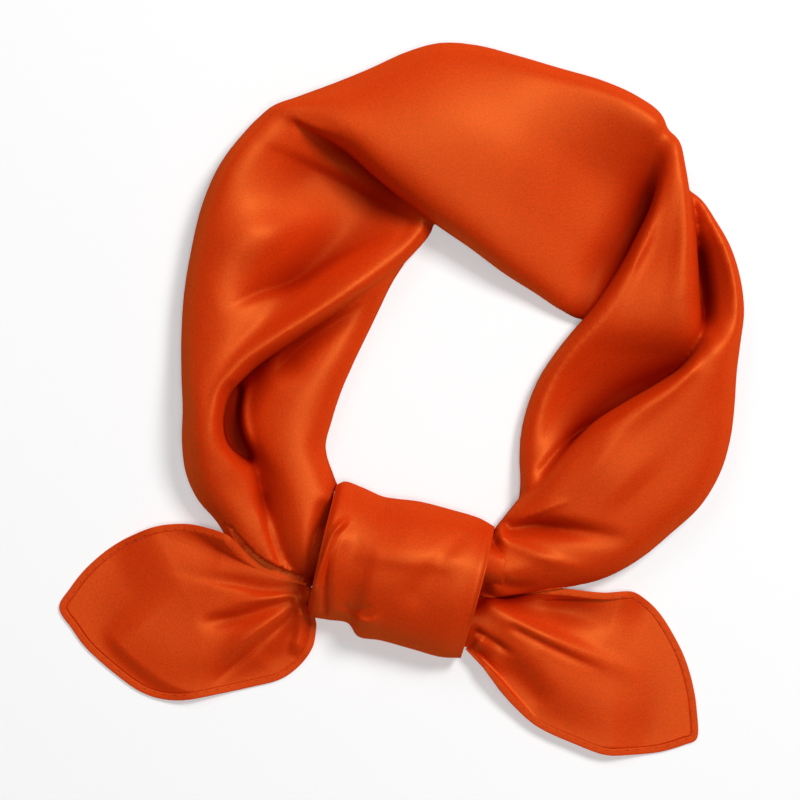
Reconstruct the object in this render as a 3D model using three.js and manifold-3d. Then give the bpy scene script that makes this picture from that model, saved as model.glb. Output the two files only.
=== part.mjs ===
// A satin neckerchief: one square scarf folded into a band, twisted into a ring and tied in a
// one-wrap knot, with its two pointed ends spread on the surface. Millimetres, +Z up, laid flat.
import * as THREE from 'three';
import { mergeVertices } from 'three/addons/utils/BufferGeometryUtils.js';
import Module from 'manifold-3d';

// Ring of folded cloth
const loopWidth = 266;
const loopDepth = 263;
const bandRise = 34;
const bandWall = 2.4;
const softEdge = 9;
const slitWidth = 9;
const slitDepth = 2.8;

// Knot
const knotLength = 77.5;
const knotWidth = 66;
const knotRise = 38;
const knotWall = 2;
const knotTilt = -15.5;
const mouthReach = 10;

// Pointed ends, each from the knot's mouth to its tip
const leftLength = 119;
const leftHalfWidth = 41.4;
const leftTurn = 182.5;
const rightLength = 119;
const rightHalfWidth = 41.4;
const rightTurn = -26.6;
const leftRootRise = 12;
const leftDome = 5;
const rightRootRise = 15;
const rightDome = 6;
const endWall = 1.2;
const endRise = 15;
const endTuck = 8;
const hemWidth = 3.4;
const hemRise = 2.2;

// Gap between pieces that touch on the real thing
const clearance = 0.35;

// The knot's middle, in shares of half the ring's width and depth from its middle
const knotMiddle = [-0.221, -0.9];

// Roots of the ends, along and across: mouth in shares of the knot, and the two sides of the
// root and the bow of its first fold in shares of the end's own length and half width
const leftRoot = { mouth: [0.007, -0.71], from: [0.012, 0.12], to: [0.02, 0.03], bow: [0.02, -0.1] };
const rightRoot = { mouth: [1.03, -0.54], from: [-0.04, 0.34], to: [0.01, -0.22], bow: [0, 0.03] };

// Form of a folded section: places of the back and the valley across the width, set-in of the
// shoulder, lip and foot in soft edges, and height of the side in shares of its edge
const backPlace = 0.4;
const valleyPlace = 0.68;
const shoulderInset = 0.8;
const lipInset = 0.7;
const footInset = 0.6;
const sideHeight = 0.45;
const softShare = 0.22;
const leastHeight = 1;

// Form of an end: height of its root at the sides, where its folds set on, and how far round
// the outline the bow of the first fold reaches
const rootSideShare = 0.45;
const foldOnset = 0.7;
const bowReach = 0.3;

// Fineness of the lofts
const bandStations = 17;
const bandRound = 20;
const hollowStations = 12;
const hollowRound = 14;
const slitMargin = 3;
const endRays = 34;
const endSteps = 8;
const hemFrom = 1;
const hemTo = endRays - 2;
const hemSides = 6;
const weld = 1e-4;
const cutWeld = 5e-3;

// Turns of the ring. Each row is one section, from the outer edge to the inner edge of the turn.
// outX, outY, inX and inY are shares of half the ring's width and depth, from its middle. The
// four heights are shares of the band's rise: by the outer edge, on the back, in the valley
// before the inner edge, and on the inner lip.
const sectionColumns = ['outX', 'outY', 'inX', 'inY', 'outer', 'back', 'valley', 'lip'];
const innerStrip = [
  [-0.725, -0.6, -0.47, -0.56, 0.5, 0.62, 0.6, 0.5],
  [-0.8, -0.49, -0.485, -0.46, 0.24, 0.54, 0.6, 0.5],
  [-0.87, -0.38, -0.465, -0.37, 0.14, 0.48, 0.58, 0.48],
  [-0.85, -0.25, -0.43, -0.26, 0.14, 0.44, 0.56, 0.46],
  [-0.77, -0.12, -0.385, -0.155, 0.2, 0.44, 0.54, 0.44],
  [-0.62, -0.02, -0.34, -0.06, 0.34, 0.46, 0.52, 0.42],
  [-0.5, 0.09, -0.295, 0.035, 0.34, 0.44, 0.48, 0.4],
  [-0.38, 0.19, -0.25, 0.13, 0.3, 0.4, 0.44, 0.38],
  [-0.29, 0.27, -0.2, 0.21, 0.25, 0.3, 0.34, 0.3],
];
const leftFace = [
  [-0.77, -0.825, -0.6, -0.745, 0.38, 0.46, 0.42, 0.32],
  [-0.875, -0.73, -0.65, -0.655, 0.46, 0.56, 0.48, 0.34],
  [-0.945, -0.645, -0.705, -0.59, 0.54, 0.66, 0.56, 0.4],
  [-0.985, -0.55, -0.765, -0.53, 0.62, 0.76, 0.74, 0.6],
  [-0.998, -0.44, -0.83, -0.45, 0.66, 0.84, 0.88, 0.82],
  [-0.995, -0.32, -0.848, -0.37, 0.68, 0.88, 0.94, 0.92],
  [-1.0, -0.19, -0.825, -0.275, 0.68, 0.86, 0.92, 0.95],
  [-1.0, -0.05, -0.745, -0.185, 0.68, 0.82, 0.84, 0.95],
  [-0.99, 0.1, -0.605, -0.085, 0.68, 0.8, 0.72, 0.92],
  [-0.965, 0.25, -0.46, 0.01, 0.7, 0.8, 0.62, 0.86],
  [-0.93, 0.4, -0.335, 0.095, 0.72, 0.76, 0.52, 0.78],
  [-0.875, 0.535, -0.245, 0.165, 0.74, 0.64, 0.44, 0.68],
  [-0.8, 0.65, -0.17, 0.24, 0.74, 0.5, 0.38, 0.56],
  [-0.7, 0.745, -0.11, 0.315, 0.7, 0.4, 0.32, 0.44],
  [-0.57, 0.75, -0.09, 0.4, 0.5, 0.3, 0.28, 0.36],
];
const topFace = [
  [-0.785, 0.585, -0.72, 0.55, 0.4, 0.42, 0.4, 0.36],
  [-0.755, 0.68, -0.67, 0.64, 0.56, 0.62, 0.6, 0.5],
  [-0.69, 0.76, -0.6, 0.695, 0.66, 0.72, 0.72, 0.66],
  [-0.58, 0.805, -0.515, 0.66, 0.68, 0.78, 0.8, 0.8],
  [-0.45, 0.855, -0.42, 0.605, 0.7, 0.84, 0.9, 0.94],
  [-0.32, 0.91, -0.31, 0.51, 0.7, 0.86, 0.94, 1.0],
  [-0.2, 0.965, -0.2, 0.42, 0.7, 0.86, 0.94, 1.0],
  [-0.08, 0.998, -0.09, 0.338, 0.7, 0.86, 0.94, 0.96],
  [0.05, 0.99, 0.03, 0.255, 0.7, 0.84, 0.9, 0.88],
  [0.2, 0.95, 0.15, 0.165, 0.7, 0.8, 0.84, 0.8],
  [0.35, 0.905, 0.26, 0.095, 0.7, 0.74, 0.76, 0.7],
  [0.5, 0.86, 0.35, 0.035, 0.7, 0.68, 0.68, 0.6],
  [0.62, 0.805, 0.43, 0.0, 0.72, 0.62, 0.58, 0.5],
  [0.71, 0.735, 0.52, 0.03, 0.74, 0.56, 0.48, 0.42],
  [0.74, 0.63, 0.61, 0.13, 0.6, 0.46, 0.4, 0.34],
  [0.745, 0.54, 0.68, 0.25, 0.44, 0.36, 0.32, 0.28],
];
const rightStrip = [
  [0.69, 0.7, 0.65, 0.665, 0.42, 0.46, 0.44, 0.38],
  [0.768, 0.65, 0.69, 0.6, 0.74, 0.76, 0.72, 0.64],
  [0.79, 0.56, 0.692, 0.505, 0.8, 0.84, 0.82, 0.76],
  [0.805, 0.47, 0.667, 0.405, 0.84, 0.86, 0.84, 0.82],
  [0.82, 0.375, 0.62, 0.305, 0.86, 0.84, 0.8, 0.82],
  [0.833, 0.28, 0.565, 0.2, 0.86, 0.8, 0.74, 0.8],
  [0.84, 0.18, 0.505, 0.105, 0.84, 0.74, 0.68, 0.76],
  [0.845, 0.08, 0.448, 0.025, 0.76, 0.66, 0.62, 0.72],
  [0.84, -0.02, 0.392, -0.04, 0.64, 0.56, 0.54, 0.68],
  [0.8, -0.12, 0.33, -0.12, 0.5, 0.46, 0.48, 0.64],
  [0.72, -0.22, 0.275, -0.205, 0.38, 0.4, 0.48, 0.62],
  [0.62, -0.31, 0.235, -0.3, 0.34, 0.42, 0.54, 0.6],
  [0.53, -0.39, 0.21, -0.4, 0.34, 0.46, 0.58, 0.58],
  [0.45, -0.48, 0.203, -0.5, 0.34, 0.48, 0.58, 0.54],
  [0.37, -0.57, 0.207, -0.59, 0.34, 0.44, 0.5, 0.46],
  [0.3, -0.65, 0.2, -0.66, 0.3, 0.36, 0.4, 0.36],
];
const rightLobe = [
  [0.775, 0.49, 0.75, 0.45, 0.34, 0.34, 0.3, 0.26],
  [0.85, 0.435, 0.79, 0.38, 0.5, 0.46, 0.3, 0.2],
  [0.905, 0.355, 0.8, 0.28, 0.56, 0.5, 0.26, 0.16],
  [0.955, 0.265, 0.81, 0.175, 0.6, 0.5, 0.24, 0.14],
  [0.99, 0.15, 0.81, 0.08, 0.64, 0.5, 0.26, 0.18],
  [1.003, 0.03, 0.8, 0.0, 0.68, 0.7, 0.5, 0.18],
  [0.99, -0.08, 0.82, -0.09, 0.7, 0.82, 0.82, 0.66],
  [0.977, -0.19, 0.775, -0.168, 0.68, 0.84, 0.9, 0.92],
  [0.97, -0.31, 0.68, -0.235, 0.66, 0.82, 0.9, 0.95],
  [0.955, -0.43, 0.57, -0.3, 0.64, 0.8, 0.88, 0.93],
  [0.92, -0.55, 0.47, -0.365, 0.62, 0.78, 0.86, 0.88],
  [0.85, -0.67, 0.385, -0.445, 0.6, 0.76, 0.84, 0.82],
  [0.75, -0.765, 0.31, -0.525, 0.58, 0.74, 0.8, 0.76],
  [0.63, -0.865, 0.24, -0.605, 0.56, 0.7, 0.72, 0.68],
  [0.5, -0.935, 0.195, -0.65, 0.54, 0.66, 0.62, 0.6],
  [0.37, -0.965, 0.155, -0.7, 0.52, 0.66, 0.58, 0.58],
];

// Stretches of the ring by the knot's mouths. Here outX, outY, inX and inY are shares of the
// knot: along its axis from the left mouth, and across it in half widths.
const innerStripAtKnot = [
  [-0.056, -0.633, 0.184, -0.33, 0.26, 0.34, 0.3, 0.3],
  [-0.151, -0.425, 0.168, 0.115, 0.4, 0.56, 0.56, 0.5],
  [-0.28, -0.093, 0.113, 0.578, 0.48, 0.64, 0.62, 0.52],
];
const leftFaceAtKnot = [
  [-0.012, -0.625, 0.02, -0.44, 0.24, 0.28, 0.28, 0.24],
  [-0.2, -0.51, -0.08, -0.21, 0.3, 0.38, 0.34, 0.28],
];
const rightLobeAtKnot = [
  [1.3, 0.17, 0.994, 0.966, 0.5, 0.66, 0.6, 0.58],
  [1.126, -0.007, 0.96, 0.8, 0.5, 0.66, 0.66, 0.58],
  [0.98, -0.093, 0.853, 0.646, 0.46, 0.6, 0.62, 0.54],
];

// Gathered stretch inside the knot. Rows as above, but the heights are shares of the knot's rise.
const gatheredCore = [
  [-0.1, -0.47, -0.1, 0.42, 0.3, 0.44, 0.46, 0.3],
  [0.12, -0.47, 0.12, 0.8, 0.5, 0.66, 0.66, 0.5],
  [0.5, -0.2, 0.5, 0.84, 0.6, 0.76, 0.76, 0.56],
  [0.88, 0.08, 0.88, 0.84, 0.56, 0.72, 0.72, 0.52],
  [1.12, 0.08, 1.12, 0.74, 0.44, 0.56, 0.56, 0.44],
];

// Outside of the knot. Rows as above.
const knotSleeve = [
  [0.03, -0.9, -0.014, 0.93, 0.5, 0.86, 0.9, 0.62],
  [0.06, -0.98, 0.03, 1.01, 0.56, 0.92, 0.98, 0.68],
  [0.15, -0.97, 0.13, 1.0, 0.58, 0.9, 0.93, 0.66],
  [0.28, -0.94, 0.28, 0.95, 0.58, 0.92, 0.94, 0.66],
  [0.36, -1.08, 0.36, 0.97, 0.62, 0.96, 0.97, 0.68],
  [0.5, -1.05, 0.5, 1.02, 0.64, 0.97, 1.0, 0.7],
  [0.7, -1.05, 0.7, 1.03, 0.62, 0.94, 0.99, 0.7],
  [0.88, -1.05, 0.88, 1.02, 0.6, 0.93, 0.97, 0.68],
  [1.0, -0.99, 0.985, 0.96, 0.54, 0.88, 0.92, 0.64],
];

// Outlines of the ends, from the side by the ring, round the tip, to the side away from it.
// along is a share of the end's length from the knot, across one of its half width, and edge the
// height of the edge there as a share of the end's rise.
const outlineColumns = ['along', 'across', 'edge'];
const leftOutline = [
  [0.315, 0.755, 0.3], [0.39, 0.83, 0.08], [0.474, 0.882, 0], [0.592, 0.871, 0],
  [0.693, 0.779, 0], [0.794, 0.632, 0], [0.896, 0.398, 0], [0.955, 0.2, 0],
  [1.005, -0.02, 0], [0.955, -0.28, 0], [0.909, -0.482, 0], [0.805, -0.78, 0],
  [0.7, -1.02, 0], [0.623, -1.115, 0], [0.534, -1.147, 0], [0.395, -1.1, 0],
  [0.246, -1.03, 0], [0.136, -0.95, 0], [0.065, -0.79, 0.04], [0.03, -0.595, 0.1],
  [0.02, -0.36, 0.2],
];
const rightOutline = [
  [0.25, 0.88, 0.2], [0.397, 1.035, 0.1], [0.503, 1.196, 0], [0.561, 1.184, 0],
  [0.612, 1.146, 0], [0.669, 1.07, 0], [0.787, 0.84, 0], [0.849, 0.675, 0],
  [0.902, 0.497, 0], [0.942, 0.331, 0], [1, 0, 0], [0.972, -0.095, 0],
  [0.889, -0.319, 0], [0.778, -0.51, 0], [0.698, -0.62, 0], [0.572, -0.664, 0],
  [0.397, -0.677, 0], [0.269, -0.575, 0.1], [0.184, -0.473, 0.2], [0.1, -0.372, 0.35],
];

// Folds of the ends. turn is the place round the outline, from 0 to 1, spread is the half width
// in the same share, lift is a share of the end's rise, and reach is how far from the knot the
// fold runs, as a share of the way to the outline.
const foldColumns = ['turn', 'spread', 'lift', 'reach'];
const leftFolds = [
  [0.1, 0.07, 0.2, 0.6],
  [0.3, 0.05, -0.22, 0.6],
  [0.42, 0.07, 0.16, 0.75],
  [0.55, 0.05, -0.34, 0.6],
  [0.66, 0.06, 0.3, 0.8],
  [0.8, 0.05, -0.36, 0.75],
  [0.92, 0.045, 0.4, 0.9],
];
const rightFolds = [
  [0.12, 0.07, -0.5, 0.75],
  [0.32, 0.06, 0.36, 0.85],
  [0.45, 0.045, -0.14, 0.8],
  [0.56, 0.05, 0.28, 0.9],
  [0.72, 0.06, -0.32, 0.6],
  [0.88, 0.06, 0.14, 0.6],
];

const wasm = await Module();
wasm.setup();

// A short table as rows with named columns.
function named(rows, columns) {
  return rows.map((row) => Object.fromEntries(columns.map((name, index) => [name, row[index]])));
}

function loopPlace(x, y) {
  return new THREE.Vector2((x * loopWidth) / 2, (y * loopDepth) / 2);
}

// The plan direction at an angle in degrees from +X.
function heading(degrees) {
  return new THREE.Vector2(1, 0).rotateAround(new THREE.Vector2(), THREE.MathUtils.degToRad(degrees));
}

const knotAxis = heading(knotTilt);
const knotSide = new THREE.Vector2(-knotAxis.y, knotAxis.x);

function knotPlace(along, across) {
  return loopPlace(...knotMiddle)
    .addScaledVector(knotAxis, (along - 0.5) * knotLength)
    .addScaledVector(knotSide, (across * knotWidth) / 2);
}

// Sections from a table: both edges on the plan, and heights in millimetres.
function sectionsOf(rows, place, rise) {
  return named(rows, sectionColumns).map((row) => ({
    out: place(row.outX, row.outY),
    in: place(row.inX, row.inY),
    heights: [row.outer, row.back, row.valley, row.lip].map((share) => share * rise),
  }));
}

// Smooth stations between the sections, as many as asked for.
function stationsThrough(sections, count) {
  const edge = (pick) => new THREE.CatmullRomCurve3(
    sections.map((section) => new THREE.Vector3(section[pick].x, section[pick].y, 0)), false, 'centripetal');
  const outEdge = edge('out');
  const inEdge = edge('in');
  const heightCurves = sections[0].heights.map((unused, column) => new THREE.SplineCurve(
    sections.map((section, index) => new THREE.Vector2(index, section.heights[column]))));
  return Array.from({ length: count }, (unused, index) => {
    const share = index / (count - 1);
    const outPoint = outEdge.getPoint(share);
    const inPoint = inEdge.getPoint(share);
    return {
      out: new THREE.Vector2(outPoint.x, outPoint.y),
      in: new THREE.Vector2(inPoint.x, inPoint.y),
      heights: heightCurves.map((curve) => curve.getPoint(share).y),
    };
  });
}

// Outline of one section: distance from the outer edge and height, over the top and back
// along the floor. inset leaves a wall of that thickness round it, and a negative one grows it.
function sectionOutline(station, inset, floor, round) {
  const width = station.out.distanceTo(station.in) - 2 * inset;
  const [outer, back, valley, lip] = station.heights.map(
    (height) => Math.max(height - inset, floor + leastHeight));
  const soft = Math.min(softEdge, softShare * width);
  const controls = [
    [footInset * soft, floor],
    [0, floor + sideHeight * (outer - floor)],
    [shoulderInset * soft, outer],
    [backPlace * width, back],
    [valleyPlace * width, valley],
    [width - lipInset * soft, lip],
    [width, floor + sideHeight * (lip - floor)],
    [width - footInset * soft, floor],
  ];
  const curve = new THREE.CatmullRomCurve3(
    controls.map(([across, height]) => new THREE.Vector3(across, height, 0)), false, 'centripetal');
  const overTop = Array.from({ length: round - 1 }, (unused, index) => curve.getPoint(index / (round - 2)));
  const middle = new THREE.Vector3(width / 2, floor, 0);
  return [...overTop, middle].map((point) => [point.x + inset, Math.max(point.y, floor)]);
}

// Signed volume inside the faces, negative where they point in.
function volumeInside(points, faces) {
  let sixfold = 0;
  for (let face = 0; face < faces.length; face += 3) {
    const [a, b, c] = [0, 1, 2].map(
      (corner) => new THREE.Vector3().fromArray(points, 3 * faces[face + corner]));
    sixfold += a.dot(b.cross(c));
  }
  return sixfold / 6;
}

function solidFrom(positions, faces, closeness = weld) {
  const geometry = new THREE.BufferGeometry();
  geometry.setAttribute('position', new THREE.Float32BufferAttribute(positions, 3));
  geometry.setIndex(faces);
  const merged = mergeVertices(geometry, closeness);
  const points = new Float32Array(merged.attributes.position.array);
  const corners = new Uint32Array(merged.index.array);
  if (volumeInside(points, corners) < 0) {
    corners.reverse();
  }
  return new wasm.Manifold(new wasm.Mesh({ numProp: 3, vertProperties: points, triVerts: corners }));
}

// Closed solid through rings of points, capped at both ends.
function loftThrough(rings) {
  const round = rings[0].length;
  const positions = rings.flat().flatMap((point) => [point.x, point.y, point.z]);
  const faces = [];
  for (let ring = 0; ring + 1 < rings.length; ring += 1) {
    for (let step = 0; step < round; step += 1) {
      const here = ring * round + step;
      const next = ring * round + ((step + 1) % round);
      faces.push(here, next + round, next, here, here + round, next + round);
    }
  }
  for (const [ring, isLast] of [[0, false], [rings.length - 1, true]]) {
    const centre = positions.length / 3;
    const total = rings[ring].reduce((sum, point) => sum.add(point), new THREE.Vector3());
    const middle = total.divideScalar(round);
    positions.push(middle.x, middle.y, middle.z);
    for (let step = 0; step < round; step += 1) {
      const here = ring * round + step;
      const next = ring * round + ((step + 1) % round);
      faces.push(centre, ...(isLast ? [next, here] : [here, next]));
    }
  }
  return solidFrom(positions, faces);
}

// One turn of cloth as a solid, shrunk all round by inset, standing on the height floor.
function turnSolid(sections, inset = 0, floor = inset) {
  const stations = inset > clearance ? hollowStations : bandStations;
  const round = inset > clearance ? hollowRound : bandRound;
  const rings = stationsThrough(sections, stations).map((station) => {
    const across = station.in.clone().sub(station.out).normalize();
    return sectionOutline(station, inset, floor, round).map(([distance, height]) => {
      const point = station.out.clone().addScaledVector(across, distance);
      return new THREE.Vector3(point.x, point.y, height);
    });
  });
  return loftThrough(rings);
}

// The same sections, with both end sections moved out along the knot.
function lengthened(sections, distance) {
  const moved = (section, by) => ({
    out: section.out.clone().addScaledVector(knotAxis, by),
    in: section.in.clone().addScaledVector(knotAxis, by),
    heights: section.heights,
  });
  return [moved(sections[0], -distance), ...sections.slice(1, -1), moved(sections.at(-1), distance)];
}

// A slit along the underside of a turn, where the folded edges of the band meet.
function slitUnder(sections) {
  const stations = stationsThrough(sections, bandStations).slice(slitMargin, -slitMargin);
  const rings = stations.map((station) => {
    const across = station.in.clone().sub(station.out);
    const middle = station.out.clone().addScaledVector(across, 0.5);
    const side = across.normalize().multiplyScalar(slitWidth / 2);
    const edges = [middle.clone().sub(side), middle.clone().add(side)];
    const levels = [-clearance, slitDepth, slitDepth, -clearance];
    return levels.map((height, corner) => {
      const place = edges[Math.floor(corner / 2)];
      return new THREE.Vector3(place.x, place.y, height);
    });
  });
  return loftThrough(rings);
}

const turns = [
  sectionsOf(innerStripAtKnot, knotPlace, bandRise).concat(sectionsOf(innerStrip, loopPlace, bandRise)),
  sectionsOf(leftFaceAtKnot, knotPlace, bandRise).concat(sectionsOf(leftFace, loopPlace, bandRise)),
  sectionsOf(topFace, loopPlace, bandRise),
  sectionsOf(rightStrip, loopPlace, bandRise),
  sectionsOf(rightLobe, loopPlace, bandRise).concat(sectionsOf(rightLobeAtKnot, knotPlace, bandRise)),
];
const sleeveSections = sectionsOf(knotSleeve, knotPlace, knotRise);
const coreSections = sectionsOf(gatheredCore, knotPlace, knotRise);

// The knot is an open sleeve, with the space for what runs through it.
const sleeveSpace = turnSolid(lengthened(sleeveSections, mouthReach), knotWall);
const sleeve = turnSolid(sleeveSections).subtract(sleeveSpace);
const sleeveRoom = turnSolid(lengthened(sleeveSections, clearance), -clearance);
const corePassage = turnSolid(lengthened(sleeveSections, mouthReach), knotWall + clearance);

// Smooth closed way round the edge of an end, with its plan normals and the height of the edge.
function outlineOf(end) {
  const rows = named(end.outline, outlineColumns);
  const curve = new THREE.CatmullRomCurve3(rows.map((row) => {
    const point = end.place(row.along, row.across);
    return new THREE.Vector3(point.x, point.y, row.edge * endRise);
  }), false, 'centripetal');
  return (turn) => {
    const point = curve.getPointAt(turn);
    const tangent = curve.getTangentAt(turn);
    const inward = new THREE.Vector2(-tangent.y, tangent.x).normalize().multiplyScalar(end.inwardWay);
    point.z = Math.max(0, point.z);
    return { point, inward };
  };
}

// Height of the cloth's underside, by the place round the outline and the share of the way to it.
function clothHeight(end, turn, share, edgeHeight) {
  const fall = share * share * (3 - 2 * share);
  const rootHeight = end.rootRise * (rootSideShare + (1 - rootSideShare) * Math.sin(Math.PI * turn));
  const dome = end.domeRise * Math.sin(Math.PI * share);
  const folds = named(end.folds, foldColumns).reduce((sum, fold) => {
    const across = Math.exp(-(((turn - fold.turn) / fold.spread) ** 2));
    const along = share < fold.reach ? Math.sin(Math.PI * (share / fold.reach) ** foldOnset) : 0;
    return sum + fold.lift * endRise * across * along;
  }, 0);
  return Math.max(0, rootHeight + (edgeHeight - rootHeight) * fall + dome + folds);
}

// An end's cloth between two heights over its underside, its edge set in from the outline by the
// hem. overHem takes it on to the outline, with the clearance round it. The hem leaves out the
// first and the last ray, which lie in the knot's mouth.
function endSolid(end, below, above, overHem = false) {
  const outline = outlineOf(end);
  const columns = Array.from({ length: endRays }, (unused, ray) => {
    const turn = ray / (endRays - 1);
    const { point, inward } = outline(turn);
    const border = new THREE.Vector2(point.x, point.y);
    const isHemmed = ray >= hemFrom && ray <= hemTo;
    const edge = border.clone().addScaledVector(inward, isHemmed ? hemWidth + clearance : 0);
    const root = end.rootFrom.clone().lerp(end.rootTo, turn);
    const bow = end.bow.clone().multiplyScalar(Math.max(0, 1 - turn / bowReach) ** 2);
    const tucked = root.clone().addScaledVector(end.intoKnot, endTuck);
    const column = [[tucked, clothHeight(end, turn, 0, point.z)]];
    for (let step = 0; step < endSteps; step += 1) {
      const share = step / (endSteps - 1);
      const place = root.clone().lerp(edge, share).addScaledVector(bow, Math.sin(Math.PI * share));
      column.push([place, clothHeight(end, turn, share, point.z)]);
    }
    return overHem ? [...column, [border.addScaledVector(inward, -clearance), point.z]] : column;
  });
  if (overHem) {
    const aside = end.rootFrom.clone().sub(end.rootTo).normalize().multiplyScalar(clearance);
    const shifted = (column, by) => column.map(([place, height]) => [place.clone().add(by), height]);
    columns.unshift(shifted(columns[0], aside));
    columns.push(shifted(columns.at(-1), aside.negate()));
  }
  const rings = columns.map((column) => {
    const lower = column.map(([place, height]) => new THREE.Vector3(place.x, place.y, below(height)));
    const upper = column.map(([place, height]) => new THREE.Vector3(place.x, place.y, above(height)));
    return [...lower, ...upper.reverse()];
  });
  return sheetThrough(rings);
}

// Closed sheet through flat rings, each out along the underside and back along the top.
function sheetThrough(rings) {
  const round = rings[0].length;
  const positions = rings.flat().flatMap((point) => [point.x, point.y, point.z]);
  const faces = [];
  const quad = (a, b, c, d) => faces.push(a, b, c, a, c, d);
  for (let ring = 0; ring + 1 < rings.length; ring += 1) {
    for (let step = 0; step < round; step += 1) {
      const here = ring * round + step;
      const next = ring * round + ((step + 1) % round);
      quad(here, next, next + round, here + round);
    }
  }
  for (let step = 0; step + 1 < round / 2; step += 1) {
    const last = (rings.length - 1) * round;
    quad(step, round - 1 - step, round - 2 - step, step + 1);
    quad(last + step, last + step + 1, last + round - 2 - step, last + round - 1 - step);
  }
  return solidFrom(positions, faces);
}

// The rolled hem that follows an end's outline.
function hemSolid(end) {
  const outline = outlineOf(end);
  const rings = Array.from({ length: hemTo - hemFrom + 1 }, (unused, index) => {
    const { point, inward } = outline((hemFrom + index) / (endRays - 1));
    return Array.from({ length: hemSides }, (gap, side) => {
      const angle = (side / hemSides) * 2 * Math.PI;
      const across = (hemWidth / 2) * (1 + Math.cos(angle));
      const height = (hemRise / 2) * (1 + Math.sin(angle) / Math.cos(Math.PI / hemSides));
      return new THREE.Vector3(
        point.x + across * inward.x, point.y + across * inward.y, point.z + height);
    });
  });
  return loftThrough(rings);
}

// Places on an end, by shares of its length along and of its half width across.
function endPlace(root, turnDegrees, acrossWay, length, halfWidth) {
  const along = heading(turnDegrees);
  const across = new THREE.Vector2(-along.y, along.x).multiplyScalar(acrossWay);
  return (alongShare, acrossShare) => root.clone()
    .addScaledVector(along, alongShare * length)
    .addScaledVector(across, acrossShare * halfWidth);
}

const leftPlace = endPlace(knotPlace(...leftRoot.mouth), leftTurn, -1, leftLength, leftHalfWidth);
const rightPlace = endPlace(knotPlace(...rightRoot.mouth), rightTurn, 1, rightLength, rightHalfWidth);
const ends = {
  left: {
    place: leftPlace,
    outline: leftOutline,
    folds: leftFolds,
    inwardWay: 1,
    rootFrom: leftPlace(...leftRoot.from),
    rootTo: leftPlace(...leftRoot.to),
    intoKnot: knotAxis,
    bow: leftPlace(...leftRoot.bow).sub(leftPlace(0, 0)),
    rootRise: leftRootRise,
    domeRise: leftDome,
  },
  right: {
    place: rightPlace,
    outline: rightOutline,
    folds: rightFolds,
    inwardWay: -1,
    rootFrom: rightPlace(...rightRoot.from),
    rootTo: rightPlace(...rightRoot.to),
    intoKnot: knotAxis.clone().negate(),
    bow: rightPlace(...rightRoot.bow).sub(rightPlace(0, 0)),
    rootRise: rightRootRise,
    domeRise: rightDome,
  },
};
// The left end lies on the ring's turns, so they are cut down under it. The right end lies under
// them, so they are cut away over it.
const cloth = (end) => endSolid(end, (height) => height, (height) => height + endWall);
const leftCover = endSolid(ends.left, (height) => height - clearance, () => bandRise + knotRise, true);
const rightBed = endSolid(ends.right, () => -clearance, (height) => height + hemRise + clearance, true);

// The largest of the pieces that the cuts leave, with its closest corners made one.
function largestPiece(solid) {
  const { numProp, vertProperties, triVerts } = solid.getMesh();
  const points = Array.from(vertProperties).filter((value, index) => index % numProp < 3);
  const pieces = solidFrom(points, Array.from(triVerts), cutWeld).decompose();
  return pieces.sort((one, other) => other.volume() - one.volume())[0];
}

// The band is one piece: the five turns joined, hollow and slit underneath, cut round the knot
// and both ends, with the gathered stretch that runs through the knot.
const around = wasm.Manifold.union(turns.map((sections) => turnSolid(sections)));
const within = wasm.Manifold.union(turns.map((sections) => turnSolid(sections, bandWall)));
const slits = wasm.Manifold.union(turns.map(slitUnder));
const coreFloor = knotWall + 2 * clearance;
const core = turnSolid(coreSections, 0, coreFloor).intersect(corePassage);
const coreHollow = turnSolid(coreSections, bandWall, coreFloor + bandWall);
const band = largestPiece(around.subtract(sleeveRoom).add(core)
  .subtract(within.add(coreHollow)).subtract(slits)
  .subtract(leftCover).subtract(rightBed));

const satin = { color: 0xd8480f, roughness: 0.42, metalness: 0 };
const hemSatin = { color: 0xc03a0c, roughness: 0.5, metalness: 0 };
const pieces = [
  ['neck_band', band, satin],
  ['knot_wrap', sleeve, satin],
  ['left_end', cloth(ends.left), satin],
  ['right_end', cloth(ends.right), satin],
  ['left_end_hem', hemSolid(ends.left), hemSatin],
  ['right_end_hem', hemSolid(ends.right), hemSatin],
];

function geometryOf(solid) {
  const { numProp, numVert, vertProperties, triVerts } = solid.getMesh();
  const points = new Float32Array(numVert * 3);
  for (let vertex = 0; vertex < numVert; vertex += 1) {
    points.set(vertProperties.slice(vertex * numProp, vertex * numProp + 3), vertex * 3);
  }
  const geometry = new THREE.BufferGeometry();
  geometry.setAttribute('position', new THREE.BufferAttribute(points, 3));
  geometry.setIndex(Array.from(triVerts));
  geometry.computeVertexNormals();
  return geometry;
}

const group = new THREE.Group();
for (const [name, solid, finish] of pieces) {
  const mesh = new THREE.Mesh(geometryOf(solid), new THREE.MeshStandardMaterial(finish));
  mesh.name = name;
  group.add(mesh);
}

// The scarf lies round its own middle, on the height 0.
const box = new THREE.Box3().setFromObject(group);
const middle = box.getCenter(new THREE.Vector3());
group.position.set(-middle.x, -middle.y, -box.min.z);
group.updateMatrixWorld(true);

export default group;
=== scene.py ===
import math

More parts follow.
